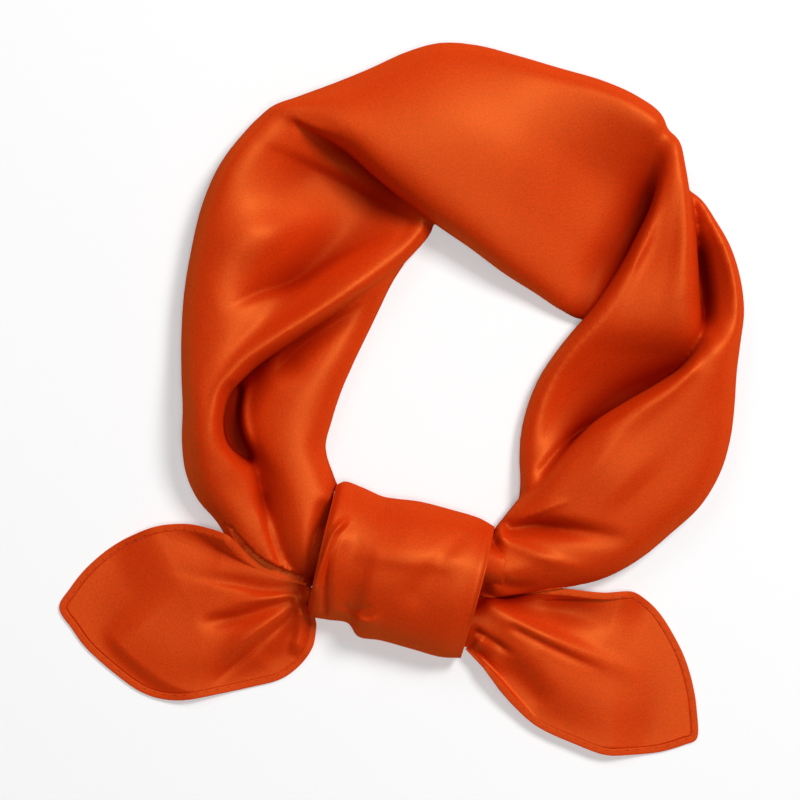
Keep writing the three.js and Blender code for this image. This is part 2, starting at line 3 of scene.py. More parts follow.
import bpy
import numpy as np
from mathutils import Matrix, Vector


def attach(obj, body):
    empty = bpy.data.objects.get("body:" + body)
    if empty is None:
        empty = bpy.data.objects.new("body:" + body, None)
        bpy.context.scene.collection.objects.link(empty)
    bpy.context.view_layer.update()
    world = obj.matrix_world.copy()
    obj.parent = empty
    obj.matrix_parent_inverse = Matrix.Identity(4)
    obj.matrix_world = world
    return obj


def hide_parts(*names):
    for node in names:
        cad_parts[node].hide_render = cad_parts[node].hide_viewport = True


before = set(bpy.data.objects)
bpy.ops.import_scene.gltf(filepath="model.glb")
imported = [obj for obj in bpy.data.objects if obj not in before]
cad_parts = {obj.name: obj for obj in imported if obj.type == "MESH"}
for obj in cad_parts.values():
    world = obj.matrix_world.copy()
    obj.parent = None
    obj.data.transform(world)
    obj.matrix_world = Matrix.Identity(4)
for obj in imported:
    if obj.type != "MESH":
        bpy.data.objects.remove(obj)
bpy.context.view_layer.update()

bl_info = {
    "name": "Satin neckerchief",
    "version": (1, 0, 0),
    "blender": (4, 5, 0),
    "location": "3D View > Sidebar > Neckerchief",
    "description": "A folded satin neckerchief with a wrap knot and two hemmed ends",
    "category": "Object",
}

# Everything is worked out in millimetres and made in metres.
MM = 0.001

# Place of the ring's middle, and half of the ring's width and depth.
RING_MIDDLE = np.array([29.45, 38.0])
RING_HALF = np.array([133.0, 131.5])
# Height and wall of the band, and how far a section's sides round off.
BAND_RISE = 34.0
BAND_WALL = 2.4
SOFT_EDGE = 9.0

# The knot, with its middle in shares of the ring's halves.
KNOT_MIDDLE = np.array([-0.221, -0.9])
KNOT_LENGTH = 77.5
KNOT_WIDTH = 66.0
KNOT_RISE = 38.0
KNOT_WALL = 2.0
KNOT_TILT = math.radians(-15.5)
MOUTH_REACH = 10.0

# The ends, their hems and their stitches.
END_LENGTH = 119.0
END_HALF_WIDTH = 41.4
END_WALL = 1.1
END_RISE = 15.0
END_TUCK = 8.0
HEM_WIDTH = 3.4
HEM_RISE = 1.3
HEM_GAP = 0.03
SLIM_SHARE = 0.35
SLIM_REACH = 26.0
STITCH_INSET = 2.5
STITCH_WIDE = 0.7
STITCH_THICK = 0.5
STITCH_SHARE = 0.55
STITCH_VARY = 0.06
STITCH_TURN = 0.12
STITCH_WANDER = 0.3
QUICK_WAVE = 2.4
SLOW_WAVE = 1.1
FIRST_STITCH = 36.0
# Room between the knot and the band, between the band and an end, and how far past an end's hem
# the band makes way.
CLEARANCE = 0.35
LAYER_GAP = 0.5
END_MARGIN = 1.0

# Form of a folded section, as in the solids.
BACK_PLACE = 0.4
VALLEY_PLACE = 0.68
SHOULDER_INSET = 0.8
LIP_INSET = 0.7
FOOT_INSET = 0.6
SIDE_HEIGHT = 0.45
SOFT_SHARE = 0.22
LEAST_HEIGHT = 1.0
BOW_REACH = 0.3
EDGE_REACH = 13.0
NEAR_ROOT = 0.35
GAP_BLEND = 4.0
CORNER_SHARE = 0.018
HEM_SQUARENESS = 0.35

# Least heights of the cloth, of a pressed layer and of what isn't laid flat on the floor, and how
# softly an end settles on the floor.
LEAST_CLOTH = 1.0
LEAST_LAYER = 2.0
FLAT_BELOW = 0.6
SOFT_FLOOR = 0.5
FAR_BELOW = -50.0

# How the cloth is smoothed: the share that a point moves in a round, and the rounds.
SOFTNESS = 0.5
FIRST_ROUNDS = 3
LAST_ROUNDS = 2
JOIN_SOFTNESS = 0.9
JOIN_ROUNDS = 60
HEM_ROUNDS = 3

# Folds press what faces up, from the first number on and in full past it by the second. Then how
# far they reach in half widths, the points of their curves, and their shortest fade.
FACING_FROM = -0.1
FACING_RANGE = 0.5
FOLD_SPREAD = 3
FOLD_POINTS = 12
LEAST_FADE = 0.001

# Depth of the folds: cell of its grid, distance that counts as round about, and a deep fold.
FOLD_CELL = 2.0
FOLD_REACH = 15.0
DEEP_FOLD = 11.0

# Counts along and round each loft, of rays and steps over an end, and of points along its edge.
BAND_LOFT = (150, 72)
ROOM_LOFT = (60, 48)
CORE_LOFT = (80, 64)
HOLLOW_LOFT = (24, 16)
KNOT_LOFT = (120, 180)
END_MEASURE = (90, 60)
END_MESH = (240, 110)
EDGE_POINTS = 160
HEM_POINTS = 260
HEM_SIDES = 18
CURVE_POINTS = 40
LEAST_STEP = 1e-4

# Grain of the hollow in mm, cells of its skin in grains, and limits on a piece and on a batch.
HOLLOW_GRAIN = 3.0
SKIN_CELLS = 1.5
MOST_TRIANGLES = 185000
BATCH_POINTS = 2000

# Finishes: colours in sRGB hex, sizes of the drawn grain and of the slow tones in mm, how light
# and dark they go, the share of gloss on open cloth and in a deep fold, and the relief of a weave.
# The deep colour is a dark red painted into the folds as shade.
FOLD_SHADE_COLOUR = "7A0600"
GLOSS_COLOUR = "FFA84E"
FLOOR_COLOUR = "CCCCCC"
GRAIN_DRAWN = 1.0
CLOUD_SIZE = 31.25
YARN_TONES = (0.85, 1.1)
TONE_PLACES = (0.3, 0.7)
CLOUD_TONES = (0.94, 1.06)
GLOSS_SHARE = 0.1
# The lower share of gloss deep in a fold, and the depth where it is reached, paint shade into the
# folds.
FOLD_SHADE_GLOSS_SHARE = 0.01
FOLD_SHADE_FROM = 0.7
FACE_RELIEF = 0.3
HEM_RELIEF = 0.4
THREAD_RELIEF = 0.5
RELIEF_DEPTH = 0.3
HEM_DULLER = 0.1
THREAD_ROUGHNESS = 0.6

# Sockets of a Mix node that is set to colours.
MIX_A, MIX_B, MIX_RESULT = 6, 7, 2

# Stage, in metres and watts: each lamp's name, place, size and power. The lens is in mm.
LAMPS = (
    ("key", (1.3, 1.3, 2.3), 0.8, 71.0),
    ("side", (-0.6, 1.6, 1.8), 0.9, 8.0),
    ("top", (0.2, -0.3, 2.6), 0.6, 20.0),
)
FLOOR_SIZE = 6.0
FLOOR_GLOW = 0.31
WORLD_LIGHT = 0.1
CAMERA_HEIGHT = 1.43
CAMERA_LENS = 135.0
CAMERA_SENSOR = 36.0

# Turns of the ring, one section a row: outer edge x, y, inner edge x, y in shares of the ring's
# halves, and the heights outer, back, valley and lip in shares of the band's rise.
INNER_STRIP = [
    (-0.72, -0.6, -0.455, -0.565, 0.42, 0.6, 0.6, 0.5),
    (-0.8, -0.49, -0.485, -0.46, 0.24, 0.54, 0.6, 0.5),
    (-0.87, -0.38, -0.465, -0.37, 0.14, 0.48, 0.58, 0.48),
    (-0.85, -0.25, -0.43, -0.26, 0.14, 0.44, 0.56, 0.46),
    (-0.77, -0.12, -0.385, -0.155, 0.2, 0.44, 0.54, 0.44),
    (-0.62, -0.02, -0.34, -0.06, 0.34, 0.46, 0.52, 0.42),
    (-0.5, 0.09, -0.295, 0.035, 0.34, 0.44, 0.48, 0.4),
    (-0.38, 0.19, -0.25, 0.13, 0.3, 0.4, 0.44, 0.38),
    (-0.29, 0.27, -0.2, 0.21, 0.25, 0.3, 0.34, 0.3),
]
LEFT_FACE = [
    (-0.8, -0.85, -0.665, -0.738, 0.38, 0.5, 0.52, 0.48),
    (-0.875, -0.73, -0.705, -0.655, 0.46, 0.58, 0.58, 0.52),
    (-0.945, -0.645, -0.715, -0.59, 0.54, 0.66, 0.64, 0.56),
    (-0.985, -0.55, -0.745, -0.53, 0.62, 0.76, 0.74, 0.62),
    (-0.998, -0.44, -0.83, -0.45, 0.66, 0.84, 0.88, 0.82),
    (-0.995, -0.32, -0.848, -0.37, 0.68, 0.88, 0.94, 0.92),
    (-1.0, -0.19, -0.825, -0.275, 0.68, 0.86, 0.92, 0.95),
    (-1.0, -0.05, -0.745, -0.185, 0.68, 0.82, 0.86, 0.96),
    (-0.99, 0.1, -0.605, -0.085, 0.68, 0.84, 0.74, 0.95),
    (-0.965, 0.25, -0.46, 0.01, 0.7, 0.88, 0.5, 0.9),
    (-0.93, 0.4, -0.335, 0.095, 0.72, 0.8, 0.4, 0.8),
    (-0.875, 0.535, -0.245, 0.165, 0.76, 0.56, 0.3, 0.64),
    (-0.8, 0.65, -0.17, 0.24, 0.76, 0.4, 0.24, 0.5),
    (-0.7, 0.745, -0.11, 0.315, 0.7, 0.32, 0.22, 0.4),
    (-0.57, 0.75, -0.09, 0.4, 0.5, 0.3, 0.28, 0.36),
]
TOP_FACE = [
    (-0.785, 0.585, -0.72, 0.55, 0.4, 0.42, 0.4, 0.36),
    (-0.755, 0.68, -0.67, 0.64, 0.56, 0.62, 0.6, 0.5),
    (-0.69, 0.76, -0.6, 0.695, 0.66, 0.72, 0.72, 0.66),
    (-0.58, 0.805, -0.515, 0.66, 0.68, 0.78, 0.8, 0.8),
    (-0.45, 0.855, -0.42, 0.605, 0.64, 0.84, 0.92, 0.84),
    (-0.32, 0.91, -0.31, 0.51, 0.6, 0.88, 0.98, 0.86),
    (-0.2, 0.965, -0.2, 0.42, 0.58, 0.92, 0.98, 0.8),
    (-0.08, 0.998, -0.09, 0.338, 0.58, 0.94, 0.94, 0.74),
    (0.05, 0.99, 0.03, 0.255, 0.6, 0.92, 0.86, 0.66),
    (0.2, 0.95, 0.15, 0.165, 0.66, 0.84, 0.74, 0.56),
    (0.35, 0.905, 0.26, 0.095, 0.68, 0.66, 0.58, 0.44),
    (0.5, 0.86, 0.35, 0.035, 0.72, 0.46, 0.42, 0.34),
    (0.62, 0.805, 0.43, 0.0, 0.76, 0.34, 0.3, 0.26),
    (0.71, 0.735, 0.52, 0.03, 0.74, 0.28, 0.24, 0.24),
    (0.74, 0.63, 0.61, 0.13, 0.6, 0.26, 0.2, 0.2),
    (0.745, 0.54, 0.68, 0.25, 0.44, 0.36, 0.32, 0.28),
]
RIGHT_STRIP = [
    (0.69, 0.7, 0.65, 0.665, 0.42, 0.46, 0.44, 0.38),
    (0.768, 0.65, 0.69, 0.6, 0.74, 0.76, 0.72, 0.64),
    (0.79, 0.56, 0.692, 0.505, 0.8, 0.84, 0.82, 0.76),
    (0.805, 0.47, 0.667, 0.405, 0.84, 0.86, 0.84, 0.82),
    (0.82, 0.375, 0.62, 0.305, 0.86, 0.84, 0.8, 0.82),
    (0.833, 0.28, 0.565, 0.2, 0.86, 0.8, 0.74, 0.8),
    (0.84, 0.18, 0.505, 0.105, 0.84, 0.8, 0.76, 0.76),
    (0.845, 0.08, 0.448, 0.025, 0.8, 0.78, 0.74, 0.72),
    (0.86, -0.04, 0.392, -0.04, 0.66, 0.66, 0.64, 0.66),
    (0.85, -0.14, 0.33, -0.12, 0.36, 0.34, 0.4, 0.58),
    (0.78, -0.25, 0.275, -0.205, 0.14, 0.14, 0.26, 0.48),
    (0.66, -0.34, 0.235, -0.3, 0.12, 0.12, 0.26, 0.42),
    (0.55, -0.41, 0.21, -0.4, 0.14, 0.2, 0.34, 0.4),
    (0.45, -0.48, 0.203, -0.5, 0.3, 0.4, 0.46, 0.42),
    (0.37, -0.57, 0.207, -0.59, 0.34, 0.44, 0.5, 0.46),
    (0.3, -0.65, 0.2, -0.66, 0.3, 0.36, 0.4, 0.36),
]
RIGHT_LOBE = [
    (0.775, 0.49, 0.75, 0.45, 0.34, 0.34, 0.3, 0.26),
    (0.85, 0.435, 0.79, 0.38, 0.5, 0.46, 0.3, 0.2),
    (0.905, 0.355, 0.8, 0.28, 0.56, 0.48, 0.3, 0.16),
    (0.955, 0.265, 0.81, 0.175, 0.6, 0.46, 0.26, 0.1),
    (0.99, 0.15, 0.81, 0.08, 0.64, 0.48, 0.26, 0.1),
    (1.003, 0.03, 0.8, 0.0, 0.68, 0.6, 0.36, 0.1),
    (0.99, -0.08, 0.82, -0.09, 0.7, 0.82, 0.82, 0.66),
    (0.977, -0.19, 0.775, -0.168, 0.68, 0.84, 0.9, 0.92),
    (0.97, -0.31, 0.68, -0.235, 0.66, 0.82, 0.9, 0.95),
    (0.955, -0.43, 0.57, -0.3, 0.64, 0.8, 0.88, 0.93),
    (0.92, -0.55, 0.47, -0.365, 0.62, 0.78, 0.86, 0.88),
    (0.85, -0.67, 0.385, -0.445, 0.6, 0.76, 0.84, 0.82),
    (0.75, -0.765, 0.31, -0.525, 0.58, 0.74, 0.8, 0.76),
    (0.63, -0.865, 0.24, -0.605, 0.56, 0.7, 0.72, 0.68),
    (0.5, -0.935, 0.195, -0.65, 0.54, 0.66, 0.62, 0.6),
    (0.37, -0.965, 0.155, -0.7, 0.52, 0.66, 0.58, 0.58),
]

# By the knot's mouths the edges are shares of the knot: along it, and across in half widths.
INNER_STRIP_AT_KNOT = [
    (-0.056, -0.633, 0.184, -0.33, 0.26, 0.34, 0.3, 0.3),
    (-0.172, -0.45, 0.168, 0.115, 0.4, 0.56, 0.56, 0.5),
    (-0.3, -0.11, 0.113, 0.578, 0.48, 0.64, 0.62, 0.52),
]
LEFT_FACE_AT_KNOT = [
    (-0.012, -0.7, 0.01, -0.5, 0.24, 0.28, 0.28, 0.24),
    (-0.2, -0.64, -0.145, -0.385, 0.3, 0.4, 0.42, 0.36),
]
RIGHT_LOBE_AT_KNOT = [
    (1.3, 0.17, 0.994, 0.966, 0.5, 0.66, 0.6, 0.58),
    (1.126, -0.007, 0.96, 0.8, 0.5, 0.66, 0.66, 0.58),
    (0.98, -0.093, 0.853, 0.646, 0.46, 0.6, 0.62, 0.54),
]
# Heights below are shares of the knot's rise.
GATHERED_CORE = [
    (-0.1, -0.47, -0.1, 0.42, 0.3, 0.44, 0.46, 0.3),
    (0.12, -0.47, 0.12, 0.8, 0.5, 0.66, 0.66, 0.5),
    (0.5, -0.2, 0.5, 0.84, 0.6, 0.76, 0.76, 0.56),
    (0.88, 0.08, 0.88, 0.84, 0.56, 0.72, 0.72, 0.52),
    (1.12, 0.08, 1.12, 0.74, 0.44, 0.56, 0.56, 0.44),
]
KNOT_SLEEVE = [
    (0.018, -0.9, -0.014, 0.93, 0.5, 0.86, 0.9, 0.62),
    (0.05, -0.98, 0.03, 1.01, 0.56, 0.92, 0.98, 0.68),
    (0.15, -0.97, 0.13, 1.0, 0.58, 0.9, 0.93, 0.66),
    (0.28, -0.94, 0.28, 0.95, 0.58, 0.92, 0.94, 0.66),
    (0.36, -1.08, 0.36, 0.97, 0.62, 0.96, 0.97, 0.68),
    (0.5, -1.05, 0.5, 1.02, 0.64, 0.97, 1.0, 0.7),
    (0.7, -1.05, 0.7, 1.03, 0.62, 0.94, 0.99, 0.7),
    (0.88, -1.05, 0.88, 1.02, 0.6, 0.93, 0.97, 0.68),
    (1.0, -0.99, 0.985, 0.96, 0.54, 0.88, 0.92, 0.64),
]

# Outlines of the ends: along a share of the length, across one of the half width, and the
# height of the edge as a share of the end's rise.
LEFT_OUTLINE = [
    (0.315, 0.755, 0.6), (0.39, 0.83, 0.34), (0.474, 0.882, 0.1), (0.592, 0.871, 0),
    (0.693, 0.779, 0), (0.794, 0.632, 0), (0.896, 0.398, 0), (0.955, 0.2, 0),
    (1.005, -0.02, 0), (0.955, -0.28, 0), (0.909, -0.482, 0), (0.805, -0.78, 0),
    (0.7, -1.02, 0), (0.623, -1.115, 0), (0.534, -1.147, 0), (0.395, -1.1, 0),
    (0.246, -1.03, 0), (0.125, -0.95, 0), (0.045, -0.79, 0.02), (-0.005, -0.595, 0.05),
    (-0.03, -0.36, 0.1),
]
RIGHT_OUTLINE = [
    (0.25, 0.88, 0.2), (0.397, 1.035, 0.1), (0.503, 1.196, 0), (0.561, 1.184, 0),
    (0.612, 1.146, 0), (0.669, 1.07, 0), (0.787, 0.84, 0), (0.849, 0.675, 0),
    (0.902, 0.497, 0), (0.942, 0.331, 0), (1, 0, 0), (0.972, -0.095, 0),
    (0.889, -0.319, 0), (0.778, -0.51, 0), (0.698, -0.62, 0), (0.572, -0.664, 0),
    (0.397, -0.677, 0), (0.269, -0.575, 0.1), (0.184, -0.473, 0.2), (0.1, -0.372, 0.35),
]

# Folds pressed into each piece: points of the way on the plan in mm, half width to the left and
# to the right of the way in mm, lift in mm, and the shares of the way that it fades in and out.
BAND_FOLDS = [
    # Left face: its swell, the valley below it, and the rolled lip over the inner strip.
    ([(-97, 70), (-69, 77), (-45, 83), (-24, 88)], 10, 10, 2.0, 0.35, 0.35),
    ([(-86, 41), (-66, 52), (-50, 57), (-30, 69), (-9, 79), (6, 84)], 16, 4, -5.5, 0.2, 0.5),
    ([(-90, 0), (-86, 17), (-75, 33), (-59, 44), (-41, 52), (-23, 60), (-7, 68)], 6, 5, 1.6, 0.3, 0.3),
    # Cup under the edge of the top face, and the rim of that edge.
    ([(-72, 120), (-49, 112), (-25, 101), (-2, 88), (11, 80)], 3.5, 17, -4.0, 0.35, 0.15),
    # Pocket between the left face and the inner strip, its second edge, and the crease below it.
    ([(-77, 10), (-80, -2), (-79, -14), (-75, -24), (-70, -32)], 3.0, 3.0, -12.0, 0.2, 0.25),
    ([(-69, 14), (-73, 4), (-74, -7), (-72, -17), (-69, -28)], 2.6, 3.0, 3.0, 0.3, 0.3),
    ([(-68, -34), (-65, -50), (-61, -65), (-55, -82)], 1.5, 1.5, -2.4, 0.1, 0.05),
    # Inner strip where it runs under the left face's lip.
    ([(-7, 50), (-31, 36), (-50, 22), (-62, 8)], 10, 3, -5.0, 0.35, 0.3),
    # Valley between the top face and the right strip, and the strip's back.
    ([(118, 132), (119, 112), (116, 96), (98, 65), (85, 47)], 6, 9, -3.0, 0.3, 0.3),
    # Pocket between the strip's outer edge and the lobe.
    ([(141, 82), (143, 64), (145, 45), (143, 28)], 4, 2.4, -5.0, 0.3, 0.25),
    # Crease between the strip and the lobe.
    ([(113, 0), (94, -11), (86, -15), (75, -24), (63, -38)], 2.0, 2.6, -2.0, 0.3, 0.1),
    # Soft swell of the lobe.
    ([(88, -22), (100, -32), (112, -44)], 16, 16, 2.0, 0.3, 0.3),
    # Gathers at the right mouth of the knot.
    ([(46, -62), (56, -57), (68, -51), (82, -46)], 1.8, 1.8, 2.0, 0.05, 0.4),
    ([(46, -61), (61, -59), (75, -60), (94, -63), (112, -67)], 3.5, 5.0, -8.0, 0.1, 0.6),
    ([(46, -64), (61, -71), (75, -76), (94, -80)], 3.0, 3.5, 2.0, 0.05, 0.5),
    ([(42, -82), (52, -88), (68, -88)], 3, 3, -2.2, 0.05, 0.4),
    # Shadowed cloth along both mouths of the knot.
    ([(46, -63), (43, -75), (40, -89), (37, -100)], 3.5, 2, -5.0, 0.15, 0.15),
    ([(-33, -45), (-37, -61), (-41, -80), (-45, -91)], 3, 4, -4.0, 0.15, 0.15),
]
KNOT_FOLDS = [
    # Second fold of the wrap by the left mouth: its crease and its rolled edge.
    ([(-26, -57), (-31, -64), (-34, -76), (-35, -90), (-35, -104)], 1.0, 1.8, -1.8, 0.25, 0.1),
    ([(-23, -54), (-30, -61), (-35, -73), (-39, -83), (-42, -92)], 1.8, 1.6, 4.0, 0.2, 0.15),
    ([(-21, -58), (-27, -66), (-30, -78), (-31, -90), (-31, -103)], 5, 2.5, 1.8, 0.25, 0.1),
    # Raised band along the middle with two soft dents in it.
    ([(-27, -70), (-8, -72), (12, -75), (34, -76)], 7, 5, 1.6, 0.3, 0.3),
    ([(21, -71), (12, -84), (0, -98)], 8, 6, -1.6, 0.35, 0.3),
    ([(14, -78), (24, -68), (32, -60)], 4, 4, -1.0, 0.3, 0.3),
    # Wrinkles by the lower edge.
    ([(-24, -100), (-15, -104), (-7, -100)], 1.8, 1.8, 2.0, 0.3, 0.4),
    ([(-30, -96), (-20, -98), (-11, -95)], 1.6, 1.8, -1.2, 0.3, 0.4),
    # Rolled rim of the right mouth.
    ([(43, -62), (41, -76), (37, -92), (33, -108)], 1.6, 1.8, 1.6, 0.1, 0.2),
]
LEFT_FOLDS = [
    # The cloth stands up a little by its upper and by its lower edge.
    ([(-58, -66), (-87, -59), (-112, -62), (-138, -79)], 24, 5, 6.0, 0.3, 0.3),
    ([(-141, -106), (-125, -123), (-103, -137), (-72, -139)], 26, 5, 3.6, 0.2, 0.3),
    # Long crease out of the knot.
    ([(-44, -90), (-61, -90), (-78, -87), (-94, -84), (-118, -78)], 2.4, 4.5, -2.6, 0.08, 0.6),
    # Ridge, valley and ridge out of the knot.
    ([(-47, -91), (-65, -94), (-85, -96)], 2.6, 2.6, 1.4, 0.1, 0.5),
    ([(-47, -93), (-65, -100), (-82, -104), (-98, -106)], 4.5, 3.5, -4.0, 0.1, 0.35),
    ([(-46, -94), (-60, -103), (-75, -115), (-89, -132)], 4, 5, 3.2, 0.1, 0.4),
    ([(-47, -97), (-61, -110), (-78, -125), (-92, -137)], 2.2, 3, -2.0, 0.1, 0.4),
    # Dent by the lower edge and the flap beside the knot.
    ([(-50, -104), (-57, -116), (-66, -126)], 7, 6, -1.2, 0.3, 0.3),
    ([(-46, -97), (-47, -110), (-51, -123)], 3.5, 3.5, 3.6, 0.2, 0.3),
]
RIGHT_FOLDS = [
    # The cloth stands up a little by its lower and by its upper edge.
    ([(34, -122), (53, -145), (83, -162), (122, -165)], 28, 5, 5.0, 0.2, 0.2),
    ([(122, -97), (103, -88), (75, -87), (52, -86)], 18, 5, 6.0, 0.3, 0.3),
    # Valley by the upper edge, the long ridge, and the fine valley under it.
    ([(43, -88), (63, -97), (87, -102), (108, -106)], 7, 6, -4.0, 0.15, 0.5),
    ([(38, -93), (56, -105), (75, -114), (98, -124), (120, -134)], 4, 5, 3.6, 0.08, 0.6),
    ([(49, -105), (62, -112), (80, -121), (100, -130)], 2, 2.4, -1.8, 0.2, 0.5),
    # Groove, bulge and valley by the lower edge.
    ([(34, -108), (44, -114), (56, -122)], 1.8, 2, -2.0, 0.1, 0.4),
    ([(34, -113), (42, -121), (49, -132)], 5, 5, 3.0, 0.2, 0.4),
    ([(49, -120), (61, -134), (70, -148)], 6, 6, -1.6, 0.3, 0.3),
]

# Places where two turns run into one cloth: x, y and half width in ring shares, and how much.
SOFT_JOINS = [
    (-0.74, 0.66, 0.16, 0.9),
    (0.75, 0.6, 0.12, 0.8),
]


# Settings that a user would change.

class SatinLook(bpy.types.PropertyGroup):
    face: bpy.props.StringProperty(
        name="Satin colour", description="Colour of the satin, sRGB hex", default="C82C03")
    hem: bpy.props.StringProperty(
        name="Hem colour", description="Colour of the rolled hem, sRGB hex", default="C42902")
    thread: bpy.props.StringProperty(
        name="Thread colour", description="Colour of the stitches, sRGB hex", default="A82204")
    roughness: bpy.props.FloatProperty(
        name="Roughness", description="How wide the sheen of the satin spreads",
        default=0.54, min=0.1, max=1.0, subtype="FACTOR")


class ClothSizes(bpy.types.PropertyGroup):
    grain: bpy.props.FloatProperty(
        name="Mesh grain", description="Spacing of the band's surface points",
        default=1.0 * MM, min=0.8 * MM, max=4 * MM, unit="LENGTH")
    stitch: bpy.props.FloatProperty(
        name="Stitch pitch", description="Distance from one hem stitch to the next",
        default=5.0 * MM, min=2 * MM, max=12 * MM, unit="LENGTH")


class Settings(bpy.types.PropertyGroup):
    look: bpy.props.PointerProperty(type=SatinLook, name="Look", description="Finish of the satin")
    cloth: bpy.props.PointerProperty(type=ClothSizes, name="Cloth", description="Sizes of the cloth")


# Curves and lofts.

def ring_place(x, y):
    return RING_MIDDLE + RING_HALF * np.array([x, y])


KNOT_AXIS = np.array([math.cos(KNOT_TILT), math.sin(KNOT_TILT)])
KNOT_SIDE = np.array([-KNOT_AXIS[1], KNOT_AXIS[0]])


def knot_place(along, across):
    middle = ring_place(*KNOT_MIDDLE)
    return middle + (along - 0.5) * KNOT_LENGTH * KNOT_AXIS + across * KNOT_WIDTH / 2 * KNOT_SIDE


def spline(points, shares):
    """Points at the given shares, 0 to 1, of a centripetal Catmull-Rom curve through points."""
    points = np.asarray(points, float)
    padded = np.vstack([2 * points[0] - points[1], points, 2 * points[-1] - points[-2]])
    at = np.clip(np.asarray(shares, float), 0, 1) * (len(points) - 1)
    first = np.minimum(at.astype(int), len(points) - 2)
    weight = (at - first)[:, None]
    p0, p1, p2, p3 = (padded[first + k] for k in range(4))
    pairs = ((p0, p1), (p1, p2), (p2, p3))
    d0, d1, d2 = (np.sqrt(np.linalg.norm(b - a, axis=1))[:, None] for a, b in pairs)
    d1 = np.where(d1 < LEAST_STEP, 1.0, d1)
    d0 = np.where(d0 < LEAST_STEP, d1, d0)
    d2 = np.where(d2 < LEAST_STEP, d1, d2)
    t1 = d1 * ((p1 - p0) / d0 - (p2 - p0) / (d0 + d1) + (p2 - p1) / d1)
    t2 = d1 * ((p2 - p1) / d1 - (p3 - p1) / (d1 + d2) + (p3 - p2) / d2)
    w2, w3 = weight ** 2, weight ** 3
    return ((2 * w3 - 3 * w2 + 1) * p1 + (w3 - 2 * w2 + weight) * t1
            + (3 * w2 - 2 * w3) * p2 + (w3 - w2) * t2)


def run_along(line):
    """Distance from the start of a line to each of its points."""
    return np.concatenate([[0], np.cumsum(np.linalg.norm(np.diff(line, axis=0), axis=1))])


def even_spline(points, shares):
    """The same curve, with the shares measured along its length."""
    fine = np.linspace(0, 1, CURVE_POINTS * len(points))
    run = run_along(spline(points, fine))
    return spline(points, np.interp(np.asarray(shares) * run[-1], run, fine))


def left_of(way):
    """Directions on the plan to the left of the given ways."""
    ahead = way / np.linalg.norm(way, axis=1)[:, None]
    return np.stack([-ahead[:, 1], ahead[:, 0]], axis=1)


def evened(rows, rounds):
    """Rows of a line, each moved towards its two neighbours, with the ends kept."""
    for _ in range(rounds):
        rows[1:-1] = (rows[:-2] + 2 * rows[1:-1] + rows[2:]) / 4
    return rows


def sections_of(rows, place, rise):
    return [(place(*row[:2]), place(*row[2:4]), np.array(row[4:]) * rise) for row in rows]


def ring_sections(rows):
    return sections_of(rows, ring_place, BAND_RISE)


def knot_sections(rows, rise=BAND_RISE):
    return sections_of(rows, knot_place, rise)


def stations_through(sections, count):
    shares = np.linspace(0, 1, count)
    out = spline([s[0] for s in sections], shares)
    inner = spline([s[1] for s in sections], shares)
    heights = uniform_spline([s[2] for s in sections], shares)
    return out, inner, heights


def uniform_spline(values, shares):
    """Evenly spaced Catmull-Rom curve through rows of values."""
    values = np.asarray(values, float)
    at = np.asarray(shares) * (len(values) - 1)
    first = np.minimum(at.astype(int), len(values) - 2)
    w = (at - first)[:, None]
    last = len(values) - 1
    v0, v1 = values[np.maximum(first - 1, 0)], values[first]
    v2, v3 = values[np.minimum(first + 1, last)], values[np.minimum(first + 2, last)]
    m1, m2 = (v2 - v0) / 2, (v3 - v1) / 2
    return ((2 * v1 - 2 * v2 + m1 + m2) * w ** 3
            + (-3 * v1 + 3 * v2 - 2 * m1 - m2) * w ** 2 + m1 * w + v1)


def section_outline(width, heights, inset, floor, round_count):
    """Outline of a folded section, from its outer edge over its back and valley to its lip."""
    width = width - 2 * inset
    outer, back, valley, lip = np.maximum(heights - inset, floor + LEAST_HEIGHT)
    soft = min(SOFT_EDGE, SOFT_SHARE * width)
    controls = [
        (FOOT_INSET * soft, floor),
        (0, floor + SIDE_HEIGHT * (outer - floor)),
        (SHOULDER_INSET * soft, outer),
        (BACK_PLACE * width, back),
        (VALLEY_PLACE * width, valley),
        (width - LIP_INSET * soft, lip),
        (width, floor + SIDE_HEIGHT * (lip - floor)),
        (width - FOOT_INSET * soft, floor),
    ]
    over = spline(controls, np.linspace(0, 1, round_count - 1))
    points = np.vstack([over, [width / 2, floor]])
    points[:, 0] += inset
    points[:, 1] = np.maximum(points[:, 1], floor)
    return points


def turn_rings(sections, count, round_count, inset=0.0, floor=None):
    """Rings of points round a turn, drawn in by the inset and standing on the floor."""
    floor = inset if floor is None else floor
    rings = np.empty((count, round_count, 3))
    for ring, (out, inner, heights) in zip(rings, zip(*stations_through(sections, count))):
        way = inner - out
        width = np.linalg.norm(way)
        outline = section_outline(width, heights, inset, floor, round_count)
        ring[:, :2] = out + outline[:, :1] * way / width
        ring[:, 2] = outline[:, 1]
    return rings


def ring_faces(rings, round_count, closed=True):
    """Quads between rings of points, with a fan of triangles over each end."""
    ring, step = np.meshgrid(np.arange(rings - 1), np.arange(round_count), indexing="ij")
    here = (ring * round_count + step).ravel()
    nxt = (ring * round_count + (step + 1) % round_count).ravel()
    faces = np.stack([here, here + round_count, nxt + round_count, nxt], axis=1).tolist()
    if closed:
        faces.append(list(range(round_count)))
        faces.append(list(range(rings * round_count - 1, (rings - 1) * round_count - 1, -1)))
    return faces


def lengthened(sections, distance):
    """Sections with the first and the last moved out along the knot."""
    first, last = sections[0], sections[-1]
    by = distance * KNOT_AXIS
    start = (first[0] - by, first[1] - by, first[2])
    end = (last[0] + by, last[1] + by, last[2])
    return [start, *sections[1:-1], end]


# Meshes.

def new_piece(name, points, faces):
    """An object at the origin with the given points, in millimetres, and faces."""
    mesh = bpy.data.meshes.new(name)
    mesh.from_pydata((np.asarray(points) * MM).tolist(), [], faces)
    mesh.update()
    piece = bpy.data.objects.new(name, mesh)
    bpy.context.collection.objects.link(piece)
    return piece


